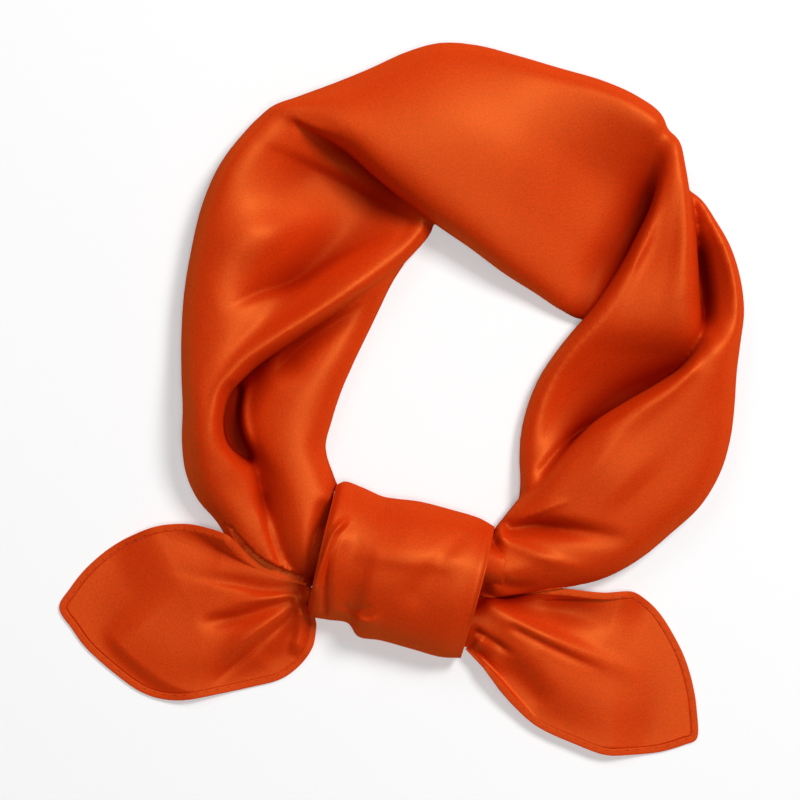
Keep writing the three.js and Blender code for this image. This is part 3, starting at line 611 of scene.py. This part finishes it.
def only(piece):
    bpy.ops.object.select_all(action="DESELECT")
    piece.select_set(True)
    bpy.context.view_layer.objects.active = piece


def turn_outward(piece):
    only(piece)
    bpy.ops.object.mode_set(mode="EDIT")
    bpy.ops.mesh.select_all(action="SELECT")
    bpy.ops.mesh.normals_make_consistent(inside=False)
    bpy.ops.object.mode_set(mode="OBJECT")


def apply_modifier(piece, kind, **settings):
    only(piece)
    modifier = piece.modifiers.new(kind.title(), kind)
    for name, value in settings.items():
        setattr(modifier, name, value)
    bpy.ops.object.modifier_apply(modifier=modifier.name)


def solid_of_turns(name, all_rings):
    """One object holding a closed loft for each set of rings."""
    points, faces = [], []
    for rings in all_rings:
        start = sum(len(p) for p in points)
        points.append(rings.reshape(-1, 3))
        faces += [[start + corner for corner in face] for face in ring_faces(*rings.shape[:2])]
    piece = new_piece(name, np.vstack(points), faces)
    turn_outward(piece)
    return piece


def cut(piece, tool, operation="DIFFERENCE"):
    apply_modifier(piece, "BOOLEAN", operation=operation, solver="MANIFOLD", object=tool)
    bpy.data.objects.remove(tool)


def points_of(piece):
    points = np.empty(len(piece.data.vertices) * 3)
    piece.data.vertices.foreach_get("co", points)
    return points.reshape(-1, 3) / MM


def place_points(piece, points):
    piece.data.vertices.foreach_set("co", (points * MM).ravel())
    piece.data.update()


def normals_of(piece):
    normals = np.empty(len(piece.data.vertices) * 3)
    piece.data.vertices.foreach_get("normal", normals)
    return normals.reshape(-1, 3)


def edges_of(piece):
    edges = np.empty(len(piece.data.edges) * 2, dtype=np.int64)
    piece.data.edges.foreach_get("vertices", edges)
    return edges.reshape(-1, 2)


def relax(points, edges, weights, rounds):
    """Moves each point towards the middle of its neighbours, by its own weight."""
    count = np.bincount(edges.ravel(), minlength=len(points))[:, None]
    for _ in range(rounds):
        total = np.zeros_like(points)
        for axis in range(3):
            total[:, axis] = (np.bincount(edges[:, 0], points[edges[:, 1], axis], len(points))
                              + np.bincount(edges[:, 1], points[edges[:, 0], axis], len(points)))
        points = points + weights[:, None] * (total / np.maximum(count, 1) - points)
    return points


def nearest_on(line, points):
    """Distance from each point to a line of points on the plan, more than 0 on the line's left,
    and the share along it."""
    start, way = line[:-1], np.diff(line, axis=0)
    long2 = np.maximum((way ** 2).sum(1), 1e-9)
    offset = points[:, None, :] - start[None]
    share = np.clip((offset * way[None]).sum(2) / long2, 0, 1)
    gap = np.linalg.norm(offset - share[..., None] * way[None], axis=2)
    best = gap.argmin(1)
    rows = np.arange(len(points))
    side = way[best, 0] * offset[rows, best, 1] - way[best, 1] * offset[rows, best, 0]
    return gap[rows, best] * np.sign(side), (best + share[rows, best]) / len(way)


def press_folds(points, normals, folds, least=LEAST_LAYER):
    """Presses folds into the upper side: each a curve on the plan in mm, its half widths on the
    left and on the right, its lift, and how it fades in and out at its ends. No dent goes lower
    than the least height."""
    lift = np.zeros(len(points))
    facing = np.clip((normals[:, 2] - FACING_FROM) / FACING_RANGE, 0, 1)
    for way, left, right, height, fade_in, fade_out in folds:
        line = spline(way, np.linspace(0, 1, FOLD_POINTS * len(way)))
        reach = FOLD_SPREAD * max(left, right)
        low, high = line.min(0) - reach, line.max(0) + reach
        near = np.flatnonzero(((points[:, :2] > low) & (points[:, :2] < high)).all(1))
        if not len(near):
            continue
        gap, share = nearest_on(line, points[near, :2])
        width = np.where(gap > 0, left, right)
        starts = np.clip(share / max(fade_in, LEAST_FADE), 0, 1)
        fade = starts * np.clip((1 - share) / max(fade_out, LEAST_FADE), 0, 1)
        fade = fade * fade * (3 - 2 * fade)
        lift[near] += height * np.exp(-(gap / width) ** 2) * fade
    height = points[:, 2] + lift * facing
    pressed = points.copy()
    pressed[:, 2] = np.where(lift < 0, np.maximum(height, np.minimum(points[:, 2], least)), height)
    return pressed


def raster_of(skin, margin, cell):
    """Height of the top of a skin of points on a grid over the plan, and the grid's corner."""
    low = skin[:, :2].min(0) - margin
    size = np.ceil((skin[:, :2].max(0) + margin - low) / cell).astype(int) + 1
    top = np.zeros(size)
    at = ((skin[:, :2] - low) / cell).astype(int)
    np.maximum.at(top, (at[:, 0], at[:, 1]), skin[:, 2])
    return top, low


def fold_depth(points, skin):
    """How deep each point lies in a fold, 0 to 1, from the mean height of the skin round it."""
    top, low = raster_of(skin, 2 * FOLD_REACH, FOLD_CELL)
    near = top.copy()
    for _ in range(int(round((FOLD_REACH / FOLD_CELL) ** 2))):
        near = (np.roll(near, 1, 0) + 2 * near + np.roll(near, -1, 0)) / 4
        near = (np.roll(near, 1, 1) + 2 * near + np.roll(near, -1, 1)) / 4
    at = (points[:, :2] - low) / FOLD_CELL - 0.5
    first = at.astype(int)
    across, up = (at - first).T
    left, right = first[:, 0], first[:, 0] + 1
    below, above = first[:, 1], first[:, 1] + 1
    mean = ((1 - across) * ((1 - up) * near[left, below] + up * near[left, above])
            + across * ((1 - up) * near[right, below] + up * near[right, above]))
    return np.clip((mean - points[:, 2]) / DEEP_FOLD, 0, 1)


def mark_depth(piece, skins):
    """Keeps the depth of each point in the folds on the piece, for its material, which paints shade
    into the folds by it.
    """
    depth = piece.data.attributes.new("fold_depth", "FLOAT", "POINT")
    depth.data.foreach_set("value", fold_depth(points_of(piece), np.vstack(skins)))


def keep_under(points, skin, wall, cell):
    """Lowers the points of a hollow until the cloth over them and round them is a wall thick."""
    top, low = raster_of(skin, 4 * wall, cell)
    reach = int(np.ceil(2 * wall / cell))
    thinnest = top.copy()
    for right in range(-reach, reach + 1):
        for up in range(-reach, reach + 1):
            thinnest = np.minimum(thinnest, np.roll(top, (right, up), (0, 1)))
    here = np.clip(((points[:, :2] - low) / cell).astype(int), 0, np.array(top.shape) - 1)
    ceiling = np.maximum(thinnest[here[:, 0], here[:, 1]] - wall, wall / 2)
    kept = points.copy()
    kept[:, 2] = np.minimum(points[:, 2], ceiling)
    return kept


# Materials.

def linear(hex_colour):
    values = [int(hex_colour[k:k + 2], 16) / 255 for k in (0, 2, 4)]
    return tuple(v / 12.92 if v <= 0.04045 else ((v + 0.055) / 1.055) ** 2.4 for v in values) + (1.0,)


def add_node(tree, kind, links=(), **settings):
    """A node with its settings, and links as (input, node, output)."""
    node = tree.nodes.new(kind)
    for name, value in settings.items():
        if hasattr(node, name):
            setattr(node, name, value)
        else:
            node.inputs[name.replace("_", " ")].default_value = value
    for socket, source, output in links:
        tree.links.new(source.outputs[output], node.inputs[socket])
    return node


def satin_weave_polyester(name, colour, roughness, bump):
    """Satin weave polyester. Long floats of bright yarn give a smooth, wide, soft highlight and a fine
    cross grain. Deep in the folds the colour is mixed towards a dark red and the gloss is lowered:
    painted shade."""
    material = bpy.data.materials.new(name)
    material.use_nodes = True
    tree = material.node_tree
    tree.nodes.clear()
    place = add_node(tree, "ShaderNodeTexCoord")
    # Yarn spacing is 0.25 mm on the real cloth and is drawn at 1 mm, so that it shows.
    grain = add_node(tree, "ShaderNodeTexNoise", [("Vector", place, "Object")],
                     Scale=1 / (GRAIN_DRAWN * MM), Detail=2.0, Roughness=0.6)
    # Slow changes of tone over some 30 mm, from the handling of the cloth.
    cloud = add_node(tree, "ShaderNodeTexNoise", [("Vector", place, "Object")],
                     Scale=1 / (CLOUD_SIZE * MM), Detail=2.0, Roughness=0.5)
    tones = add_node(tree, "ShaderNodeValToRGB", [("Fac", grain, "Fac")])
    for stop, place_of_tone, share in zip(tones.color_ramp.elements, TONE_PLACES, YARN_TONES):
        stop.position = place_of_tone
        stop.color = tuple(min(1.0, share * part) for part in linear(colour)[:3]) + (1.0,)
    slow = add_node(tree, "ShaderNodeMapRange", [("Value", cloud, "Fac")],
                    To_Min=CLOUD_TONES[0], To_Max=CLOUD_TONES[1])
    tone = add_node(tree, "ShaderNodeMix", [(MIX_A, tones, "Color"), (MIX_B, slow, "Result")],
                    data_type="RGBA", blend_type="MULTIPLY", Factor=1.0)
    # Painted shade: deep in a fold the colour is mixed towards a dark red.
    depth = add_node(tree, "ShaderNodeAttribute", attribute_name="fold_depth")
    deep = add_node(tree, "ShaderNodeMix", [("Factor", depth, "Fac"), (MIX_A, tone, MIX_RESULT)],
                    data_type="RGBA", blend_type="MIX")
    deep.inputs[MIX_B].default_value = linear(FOLD_SHADE_COLOUR)
    relief = add_node(tree, "ShaderNodeBump", [("Height", grain, "Fac")],
                      Strength=bump, Distance=RELIEF_DEPTH * MM)
    # The dyed yarn gives the saturated body, with the painted shade of the folds mixed into it.
    body = add_node(tree, "ShaderNodeBsdfDiffuse",
                    [("Color", deep, MIX_RESULT), ("Normal", relief, "Normal")], Roughness=0.3)
    # The smooth floats give a wide orange gloss, with no white rim where the cloth turns away.
    gloss = add_node(tree, "ShaderNodeBsdfGlossy", [("Normal", relief, "Normal")],
                     Roughness=roughness, Color=linear(GLOSS_COLOUR))
    # The gloss share falls deep in a fold, as painted shade.
    sheen = add_node(tree, "ShaderNodeMapRange", [("Value", depth, "Fac")],
                     From_Max=FOLD_SHADE_FROM, To_Min=GLOSS_SHARE, To_Max=FOLD_SHADE_GLOSS_SHARE)
    surface = add_node(tree, "ShaderNodeMixShader",
                       [("Fac", sheen, "Result"), (1, body, "BSDF"), (2, gloss, "BSDF")])
    add_node(tree, "ShaderNodeOutputMaterial", [("Surface", surface, "Shader")])
    return material


def satin_named(name, *finish):
    return bpy.data.materials.get(name) or satin_weave_polyester(name, *finish)


def face_satin():
    """The bright side of the satin, smooth and soft to the eye."""
    look = bpy.context.scene.neckerchief.look
    return satin_named("satin weave polyester", look.face, look.roughness, FACE_RELIEF)


def hem_satin():
    """The same satin, rolled and pressed, which dulls it a little and roughens its grain."""
    look = bpy.context.scene.neckerchief.look
    return satin_named("rolled satin hem", look.hem, look.roughness + HEM_DULLER, HEM_RELIEF)


def thread():
    """Spun polyester thread, matt and a little darker, because it has no long floats."""
    look = bpy.context.scene.neckerchief.look
    return satin_named("spun polyester thread", look.thread, THREAD_ROUGHNESS, THREAD_RELIEF)


def finished(piece, material, slot, *nodes):
    """Gives a piece its material and its body, and hides the CAD nodes that it replaces. The slot is
    not used.
    """
    piece.data.materials.clear()
    piece.data.materials.append(material)
    piece.data.shade_smooth()
    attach(piece, "root")
    if nodes:
        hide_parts(*nodes)


# The ends.

def end_place(root, degrees, across_way):
    """A function from shares along and across an end to its place on the plan."""
    angle = math.radians(degrees)
    along = np.array([math.cos(angle), math.sin(angle)])
    across = np.array([-along[1], along[0]]) * across_way
    return lambda a, c: root + a * END_LENGTH * along + c * END_HALF_WIDTH * across


# Each end: the side that its cloth lies on, the two ends of its root, the way into the knot, how
# its rays bow, the height of its root in mm, and the share of that at the root's two sides.
LEFT_PLACE = end_place(knot_place(0.007, -0.71), 182.5, -1)
RIGHT_PLACE = end_place(knot_place(1.03, -0.54), -26.6, 1)
ENDS = {
    "left": dict(
        place=LEFT_PLACE, outline=LEFT_OUTLINE, inward=1,
        root=(LEFT_PLACE(0.012, 0.12), LEFT_PLACE(0.004, -0.06)), into=KNOT_AXIS,
        bow=LEFT_PLACE(0.02, -0.1) - LEFT_PLACE(0, 0), rise=12.0, side=0.85,
        folds=LEFT_FOLDS),
    "right": dict(
        place=RIGHT_PLACE, outline=RIGHT_OUTLINE, inward=-1,
        root=(RIGHT_PLACE(-0.04, 0.34), RIGHT_PLACE(0.01, -0.22)), into=-KNOT_AXIS,
        bow=RIGHT_PLACE(0, 0.03) - RIGHT_PLACE(0, 0), rise=15.0, side=0.45,
        folds=RIGHT_FOLDS),
}


def outline_of(end, turns):
    """Points round the outline with the height of the edge, and the plan direction inward."""
    rows = [(*end["place"](along, across), edge * END_RISE) for along, across, edge in end["outline"]]
    points = even_spline(rows, turns)
    points[:, 2] = np.maximum(points[:, 2], 0)
    ahead = even_spline(rows, np.clip(turns + CORNER_SHARE, 0, 1))
    behind = even_spline(rows, np.clip(turns - CORNER_SHARE, 0, 1))
    return points, left_of((ahead - behind)[:, :2]) * end["inward"]


def cloth_height(end, turn, share, edge, run, gap):
    """Height of the underside of an end before its folds, from how far each point runs from the
    root and its gap to the edge."""
    root = end["rise"] * (end["side"] + (1 - end["side"]) * np.sin(np.pi * turn))
    away = np.clip(run, 0, 1)
    slope = (1 - away) ** 2 * (1 + 2 * away)
    inside = 1 - np.exp(-(gap / EDGE_REACH) ** 2)
    near_root = np.clip(1 - share / NEAR_ROOT, 0, 1) ** 2
    return np.maximum(edge * (1 - inside) + root * slope * np.maximum(inside, near_root), 0)


def soft_gap(line, plan):
    """Distance to a line of points, rounded off where two of its sides are as near."""
    apart = np.linalg.norm(plan[:, :, None] - line[None, None], axis=3)
    near = -GAP_BLEND * np.log(np.exp(-apart / GAP_BLEND).sum(2))
    middle = line[len(line) // 4]
    at_line = -GAP_BLEND * np.log(np.exp(-np.linalg.norm(line - middle, axis=1) / GAP_BLEND).sum())
    return np.maximum(near - at_line, 0)


def folded(end, points):
    """Points of an end with its folds pressed in, settled softly on the floor."""
    up = np.tile((0.0, 0.0, 1.0), (len(points), 1))
    pressed = press_folds(points, up, end["folds"], least=FAR_BELOW)
    pressed[:, 2] = SOFT_FLOOR * np.logaddexp(0, pressed[:, 2] / SOFT_FLOOR)
    return pressed


def end_grid(end, rays, steps, hem=HEM_WIDTH + HEM_GAP):
    """Points of an end's underside: rays from the root out to the edge."""
    turns = np.linspace(0, 1, rays)
    border, inward = outline_of(end, turns)
    edge = border[:, :2] + hem * inward
    root = end["root"][0] + turns[:, None] * (end["root"][1] - end["root"][0])
    bow = np.clip(1 - turns / BOW_REACH, 0, None)[:, None] ** 2 * end["bow"]
    shares = np.linspace(0, 1, steps)
    plan = (root[:, None] + shares[None, :, None] * (edge - root)[:, None]
            + np.sin(np.pi * shares)[None, :, None] * bow[:, None])
    gap = soft_gap(outline_of(end, np.linspace(0, 1, EDGE_POINTS))[0][:, :2], plan)
    run = np.linalg.norm(plan - root[:, None], axis=2) / END_LENGTH
    height = cloth_height(end, turns[:, None], shares[None, :], border[:, 2][:, None], run, gap)
    tucked = (root + END_TUCK * end["into"])[:, None]
    plan = np.concatenate([tucked, plan], axis=1)
    height = np.concatenate([height[:, :1], height], axis=1)
    grid = np.concatenate([plan, height[..., None]], axis=2)
    return folded(end, grid.reshape(-1, 3)).reshape(grid.shape)


def hem_line(end):
    """Outer edge of an end's hem, from the knot round the end and back, and its way inward."""
    border, inward = outline_of(end, np.linspace(0, 1, HEM_POINTS))
    edge = border.copy()
    edge[:, :2] += (HEM_WIDTH + HEM_GAP) * inward
    border[:, 2] = folded(end, edge)[:, 2]
    parts, ways = [], []
    for ray, at in zip(end_grid(end, 2, END_MEASURE[1])[:, 1:-1], (0, -1)):
        side = left_of(np.gradient(ray[:, :2], axis=0))
        side *= np.sign(side[-1] @ inward[at])
        parts.append(np.column_stack([ray[:, :2] - (HEM_WIDTH + HEM_GAP) * side, ray[:, 2]]))
        ways.append(side)
    line = np.concatenate([parts[0], border, parts[1][::-1]])
    inward = evened(np.concatenate([ways[0], inward, ways[1][::-1]]), HEM_ROUNDS)
    return evened(line, HEM_ROUNDS), inward / np.linalg.norm(inward, axis=1)[:, None]


def hem_slimness(line):
    """Share of a hem's full size along its line: it narrows into the knot at both ends."""
    run = run_along(line)
    from_end = np.minimum(run, run[-1] - run)
    return SLIM_SHARE + (1 - SLIM_SHARE) * np.clip(from_end / SLIM_REACH, 0, 1)


def squared_off(wave):
    """A round hem's wave made that of a flat roll."""
    return np.sign(wave) * np.abs(wave) ** HEM_SQUARENESS


def sheet_from(name, under, wall):
    """A closed sheet over a grid of points, with the given wall above it."""
    rays, steps = under.shape[:2]
    over = under.copy()
    over[..., 2] += wall
    points = np.concatenate([under.reshape(-1, 3), over.reshape(-1, 3)])
    top = rays * steps
    faces = []
    for ray in range(rays - 1):
        for step in range(steps - 1):
            a = ray * steps + step
            b, c, d = a + 1, a + steps + 1, a + steps
            faces.append((a, b, c, d))
            faces.append((top + a, top + d, top + c, top + b))
    rim = ([ray * steps for ray in range(rays)]
           + [(rays - 1) * steps + step for step in range(1, steps)]
           + [ray * steps + steps - 1 for ray in range(rays - 2, -1, -1)]
           + [step for step in range(steps - 2, 0, -1)])
    for a, b in zip(rim, rim[1:] + rim[:1]):
        faces.append((a, b, top + b, top + a))
    piece = new_piece(name, points, faces)
    turn_outward(piece)
    return piece


def height_over(grid, points, reach):
    """Height of a grid's surface over points on the plan, and NaN where none lies over them."""
    flat = grid.reshape(-1, 3)
    low, high = flat[:, :2].min(0) - reach, flat[:, :2].max(0) + reach
    found = np.full(len(points), np.nan)
    near = np.flatnonzero(((points[:, :2] > low) & (points[:, :2] < high)).all(1))
    for start in range(0, len(near), BATCH_POINTS):
        part = near[start:start + BATCH_POINTS]
        gap = ((points[part, None, :2] - flat[None, :, :2]) ** 2).sum(2)
        best = gap.argmin(1)
        hit = gap[np.arange(len(part)), best] < reach ** 2
        found[part[hit]] = flat[best[hit], 2]
    return found


def stitched_along(seam, stitch, pitch):
    """Copies of a stitch along a seam, each a little off its place, as a sewn one is."""
    run = run_along(seam)
    row = []
    for number, place in enumerate(np.arange(FIRST_STITCH, run[-1] - FIRST_STITCH, pitch)):
        wave = (math.sin(QUICK_WAVE * number) + math.sin(SLOW_WAVE * number + 1)) / 2
        starts = place + STITCH_WANDER * wave
        at = np.array([np.interp(starts, run, seam[:, axis]) for axis in range(3)])
        after = np.array([np.interp(place + 1.0, run, seam[:, axis]) for axis in range(3)])
        way = after - at
        length = pitch * (STITCH_SHARE + STITCH_VARY * wave)
        copy = stitch.copy()
        copy.data = stitch.data.copy()
        copy.scale = np.array([length / 2, STITCH_WIDE / 2, STITCH_THICK / 2]) * MM
        copy.rotation_euler = (0, 0, math.atan2(way[1], way[0]) + STITCH_TURN * wave)
        copy.location = at * MM
        bpy.context.collection.objects.link(copy)
        row.append(copy)
    return row


# Steps of the band.

def band_turns():
    return [
        knot_sections(INNER_STRIP_AT_KNOT) + ring_sections(INNER_STRIP),
        knot_sections(LEFT_FACE_AT_KNOT) + ring_sections(LEFT_FACE),
        ring_sections(TOP_FACE),
        ring_sections(RIGHT_STRIP),
        ring_sections(RIGHT_LOBE) + knot_sections(RIGHT_LOBE_AT_KNOT),
    ]


def softened(points, edges):
    """The fused turns smoothed all over, and most where two of them run into one cloth."""
    points = relax(points, edges, np.full(len(points), SOFTNESS), FIRST_ROUNDS)
    for x, y, spread, amount in SOFT_JOINS:
        gap = np.linalg.norm((points[:, :2] - ring_place(x, y)) / RING_HALF, axis=1) / spread
        weights = amount * np.clip(1 - gap, 0, 1) * JOIN_SOFTNESS
        points = relax(points, edges, weights, JOIN_ROUNDS)
    return points


def parted_from_ends(points):
    """The band under the left end and over the right one, and flat where it meets the floor."""
    parted = points.copy()
    height = points[:, 2]
    over = height_over(end_grid(ENDS["left"], *END_MEASURE, 0.0), points, HEM_WIDTH + END_MARGIN)
    pressed = np.minimum(height, np.maximum(over - LAYER_GAP, LEAST_CLOTH))
    height = np.where(np.isnan(over), height, pressed)
    under = height_over(end_grid(ENDS["right"], *END_MEASURE, 0.0), points, HEM_WIDTH + END_MARGIN)
    lifted = np.maximum(height, under + HEM_RISE + LAYER_GAP)
    height = np.where(np.isnan(under), height, lifted)
    parted[:, 2] = np.where(height < FLAT_BELOW, 0.0, height)
    return parted


def thread_knot(band, sleeve):
    """Cuts the knot's room out of the band and runs its gathered cloth through the knot."""
    room = turn_rings(lengthened(sleeve, CLEARANCE), *ROOM_LOFT, -CLEARANCE)
    cut(band, solid_of_turns("room", [room]))
    core = knot_sections(GATHERED_CORE, KNOT_RISE)
    core_floor = KNOT_WALL + 2 * CLEARANCE
    gathered = solid_of_turns("gathered", [turn_rings(core, *CORE_LOFT, 0.0, core_floor)])
    passage = turn_rings(lengthened(sleeve, MOUTH_REACH), *ROOM_LOFT, KNOT_WALL + CLEARANCE)
    cut(gathered, solid_of_turns("passage", [passage]), "INTERSECT")
    cut(band, gathered, "UNION")


def hollow_out(band, turns, skin, grain):
    """Takes the inside out of the band and leaves a wall under its skin."""
    inside = [turn_rings(turn[1:-1], *HOLLOW_LOFT, BAND_WALL) for turn in turns]
    hollow = solid_of_turns("hollow", inside)
    apply_modifier(hollow, "REMESH", mode="VOXEL", voxel_size=HOLLOW_GRAIN * MM, adaptivity=0.0)
    kept = keep_under(points_of(hollow), skin, BAND_WALL, SKIN_CELLS * grain / MM)
    place_points(hollow, kept)
    cut(band, hollow)


def thin_out(piece, most):
    triangles = sum(len(face.vertices) - 2 for face in piece.data.polygons)
    if triangles > most:
        apply_modifier(piece, "DECIMATE", ratio=most / triangles)


# Operators.

class NECKERCHIEF_OT_band(bpy.types.Operator):
    """Make the folded and twisted ring of cloth"""
    bl_idname = "neckerchief.band"
    bl_label = "Neck band"

    def execute(self, context):
        grain = context.scene.neckerchief.cloth.grain * 1
        turns = band_turns()
        band = solid_of_turns("neck_band_cloth", [turn_rings(turn, *BAND_LOFT) for turn in turns])
        apply_modifier(band, "REMESH", mode="VOXEL", voxel_size=grain, adaptivity=0.0)
        edges = edges_of(band)
        points = softened(points_of(band), edges)
        place_points(band, points)
        points = press_folds(points, normals_of(band), BAND_FOLDS)
        points = relax(points, edges, np.full(len(points), SOFTNESS), LAST_ROUNDS)
        points = parted_from_ends(points)
        place_points(band, points)
        sleeve = knot_sections(KNOT_SLEEVE, KNOT_RISE)
        thread_knot(band, sleeve)
        hollow_out(band, turns, points, grain)
        thin_out(band, MOST_TRIANGLES)
        mark_depth(band, [points_of(band), turn_rings(sleeve, *ROOM_LOFT).reshape(-1, 3)])
        finished(band, face_satin(), "satin", "neck_band")
        return {"FINISHED"}


class NECKERCHIEF_OT_knot(bpy.types.Operator):
    """Make the stretch of cloth wrapped round the band"""
    bl_idname = "neckerchief.knot"
    bl_label = "Knot"

    def execute(self, context):
        sleeve = knot_sections(KNOT_SLEEVE, KNOT_RISE)
        outer = turn_rings(sleeve, *KNOT_LOFT)
        inner = turn_rings(sleeve, *KNOT_LOFT, KNOT_WALL)
        rows = np.concatenate([outer, inner[::-1]])
        count, round_count = rows.shape[:2]
        faces = ring_faces(count, round_count, closed=False)
        last = (count - 1) * round_count
        for step in range(round_count):
            after = (step + 1) % round_count
            faces.append((last + step, step, after, last + after))
        knot = new_piece("knot_cloth", rows.reshape(-1, 3), faces)
        turn_outward(knot)
        points = press_folds(points_of(knot), normals_of(knot), KNOT_FOLDS)
        place_points(knot, points)
        finished(knot, face_satin(), "satin", "knot_wrap")
        return {"FINISHED"}


class NECKERCHIEF_OT_ends(bpy.types.Operator):
    """Make the two pointed ends"""
    bl_idname = "neckerchief.ends"
    bl_label = "Pointed ends"

    def execute(self, context):
        neighbours = [points_of(bpy.data.objects[name]) for name in ("neck_band_cloth", "knot_cloth")]
        for side, end in ENDS.items():
            piece = sheet_from(f"{side}_end_cloth", end_grid(end, *END_MESH), END_WALL)
            mark_depth(piece, [points_of(piece), *neighbours])
            finished(piece, face_satin(), "satin", f"{side}_end")
        return {"FINISHED"}


class NECKERCHIEF_OT_hems(bpy.types.Operator):
    """Make the rolled hems of the ends"""
    bl_idname = "neckerchief.hems"
    bl_label = "Rolled hems"

    def execute(self, context):
        angle = np.arange(HEM_SIDES) / HEM_SIDES * 2 * np.pi
        across = HEM_WIDTH / 2 * (1 + squared_off(np.cos(angle)))
        rise = HEM_RISE / 2 * (1 + squared_off(np.sin(angle)))
        for side, end in ENDS.items():
            line, inward = hem_line(end)
            slim = hem_slimness(line)
            rings = np.empty((len(line), HEM_SIDES, 3))
            place = HEM_WIDTH - (HEM_WIDTH - across)[None] * slim[:, None]
            rings[..., :2] = line[:, None, :2] + place[..., None] * inward[:, None]
            rings[..., 2] = line[:, None, 2] + rise[None] * slim[:, None]
            hem = new_piece(f"{side}_hem", rings.reshape(-1, 3), ring_faces(*rings.shape[:2]))
            turn_outward(hem)
            finished(hem, hem_satin(), "hem", f"{side}_end_hem")
        return {"FINISHED"}


class NECKERCHIEF_OT_stitches(bpy.types.Operator):
    """Sew the hems with a row of stitches"""
    bl_idname = "neckerchief.stitches"
    bl_label = "Stitches"

    def execute(self, context):
        pitch = context.scene.neckerchief.cloth.stitch / MM
        for side, end in ENDS.items():
            line, inward = hem_line(end)
            seam = line.copy()
            seam[:, :2] += STITCH_INSET * inward
            seam[:, 2] += HEM_RISE - STITCH_THICK / 3
            bpy.ops.object.select_all(action="DESELECT")
            bpy.ops.mesh.primitive_uv_sphere_add(segments=8, ring_count=5, radius=1.0)
            stitch = context.object
            stitch.name = f"{side}_stitches"
            row = stitched_along(seam, stitch, pitch)
            bpy.data.objects.remove(stitch)
            bpy.ops.object.select_all(action="DESELECT")
            for copy in row:
                copy.select_set(True)
            context.view_layer.objects.active = row[0]
            bpy.ops.object.join()
            bpy.ops.object.transform_apply(location=True, rotation=True, scale=True)
            row[0].name = f"{side}_stitches"
            finished(row[0], thread(), "hem")
        return {"FINISHED"}


class NECKERCHIEF_OT_stage(bpy.types.Operator):
    """Make the pale floor, the soft lights and the camera"""
    bl_idname = "neckerchief.stage"
    bl_label = "Stage"

    def execute(self, context):
        bpy.ops.object.select_all(action="DESELECT")
        bpy.ops.mesh.primitive_plane_add(size=FLOOR_SIZE)
        floor = context.object
        floor.name = "floor"
        paper = bpy.data.materials.new("matt white paper")
        paper.use_nodes = True
        shader = paper.node_tree.nodes["Principled BSDF"]
        shader.inputs["Base Color"].default_value = linear(FLOOR_COLOUR)
        shader.inputs["Roughness"].default_value = 0.9
        # A lit table, so that the shadows on it stay pale.
        shader.inputs["Emission Color"].default_value = (1.0, 1.0, 1.0, 1.0)
        shader.inputs["Emission Strength"].default_value = FLOOR_GLOW
        floor.data.materials.append(paper)

        world = bpy.data.worlds.new("studio")
        world.use_nodes = True
        background = world.node_tree.nodes["Background"]
        background.inputs["Color"].default_value = (1, 1, 1, 1)
        background.inputs["Strength"].default_value = WORLD_LIGHT
        context.scene.world = world
        context.scene.view_settings.view_transform = "Standard"
        for name, place, size, power in LAMPS:
            lamp = bpy.data.lights.new(name, "AREA")
            lamp.size = size
            lamp.energy = power
            light = bpy.data.objects.new(name, lamp)
            light.location = place
            light.rotation_euler = (-Vector(place)).to_track_quat("-Z", "Y").to_euler()
            context.collection.objects.link(light)

        eye = bpy.data.cameras.new("camera")
        eye.lens = CAMERA_LENS
        eye.sensor_width = CAMERA_SENSOR
        camera = bpy.data.objects.new("camera", eye)
        camera.location = (0.0, 0.0, CAMERA_HEIGHT)
        context.collection.objects.link(camera)
        context.scene.camera = camera
        return {"FINISHED"}


class NECKERCHIEF_PT_panel(bpy.types.Panel):
    bl_label = "Neckerchief"
    bl_idname = "NECKERCHIEF_PT_panel"
    bl_space_type = "VIEW_3D"
    bl_region_type = "UI"
    bl_category = "Neckerchief"

    def draw(self, context):
        settings = context.scene.neckerchief
        for group in (settings.look, settings.cloth):
            for name in group.__annotations__:
                self.layout.prop(group, name)
        for operator in OPERATORS:
            self.layout.operator(operator.bl_idname)


OPERATORS = (
    NECKERCHIEF_OT_stage,
    NECKERCHIEF_OT_band,
    NECKERCHIEF_OT_knot,
    NECKERCHIEF_OT_ends,
    NECKERCHIEF_OT_hems,
    NECKERCHIEF_OT_stitches,
)
CLASSES = (SatinLook, ClothSizes, Settings, *OPERATORS, NECKERCHIEF_PT_panel)


def register():
    for each in CLASSES:
        bpy.utils.register_class(each)
    bpy.types.Scene.neckerchief = bpy.props.PointerProperty(type=Settings)


def unregister():
    del bpy.types.Scene.neckerchief
    for each in reversed(CLASSES):
        bpy.utils.unregister_class(each)


def main():
    register()
    bpy.ops.neckerchief.stage()
    bpy.ops.neckerchief.band()
    bpy.ops.neckerchief.knot()
    bpy.ops.neckerchief.ends()
    bpy.ops.neckerchief.hems()
    bpy.ops.neckerchief.stitches()


if __name__ == "__main__":
    main()
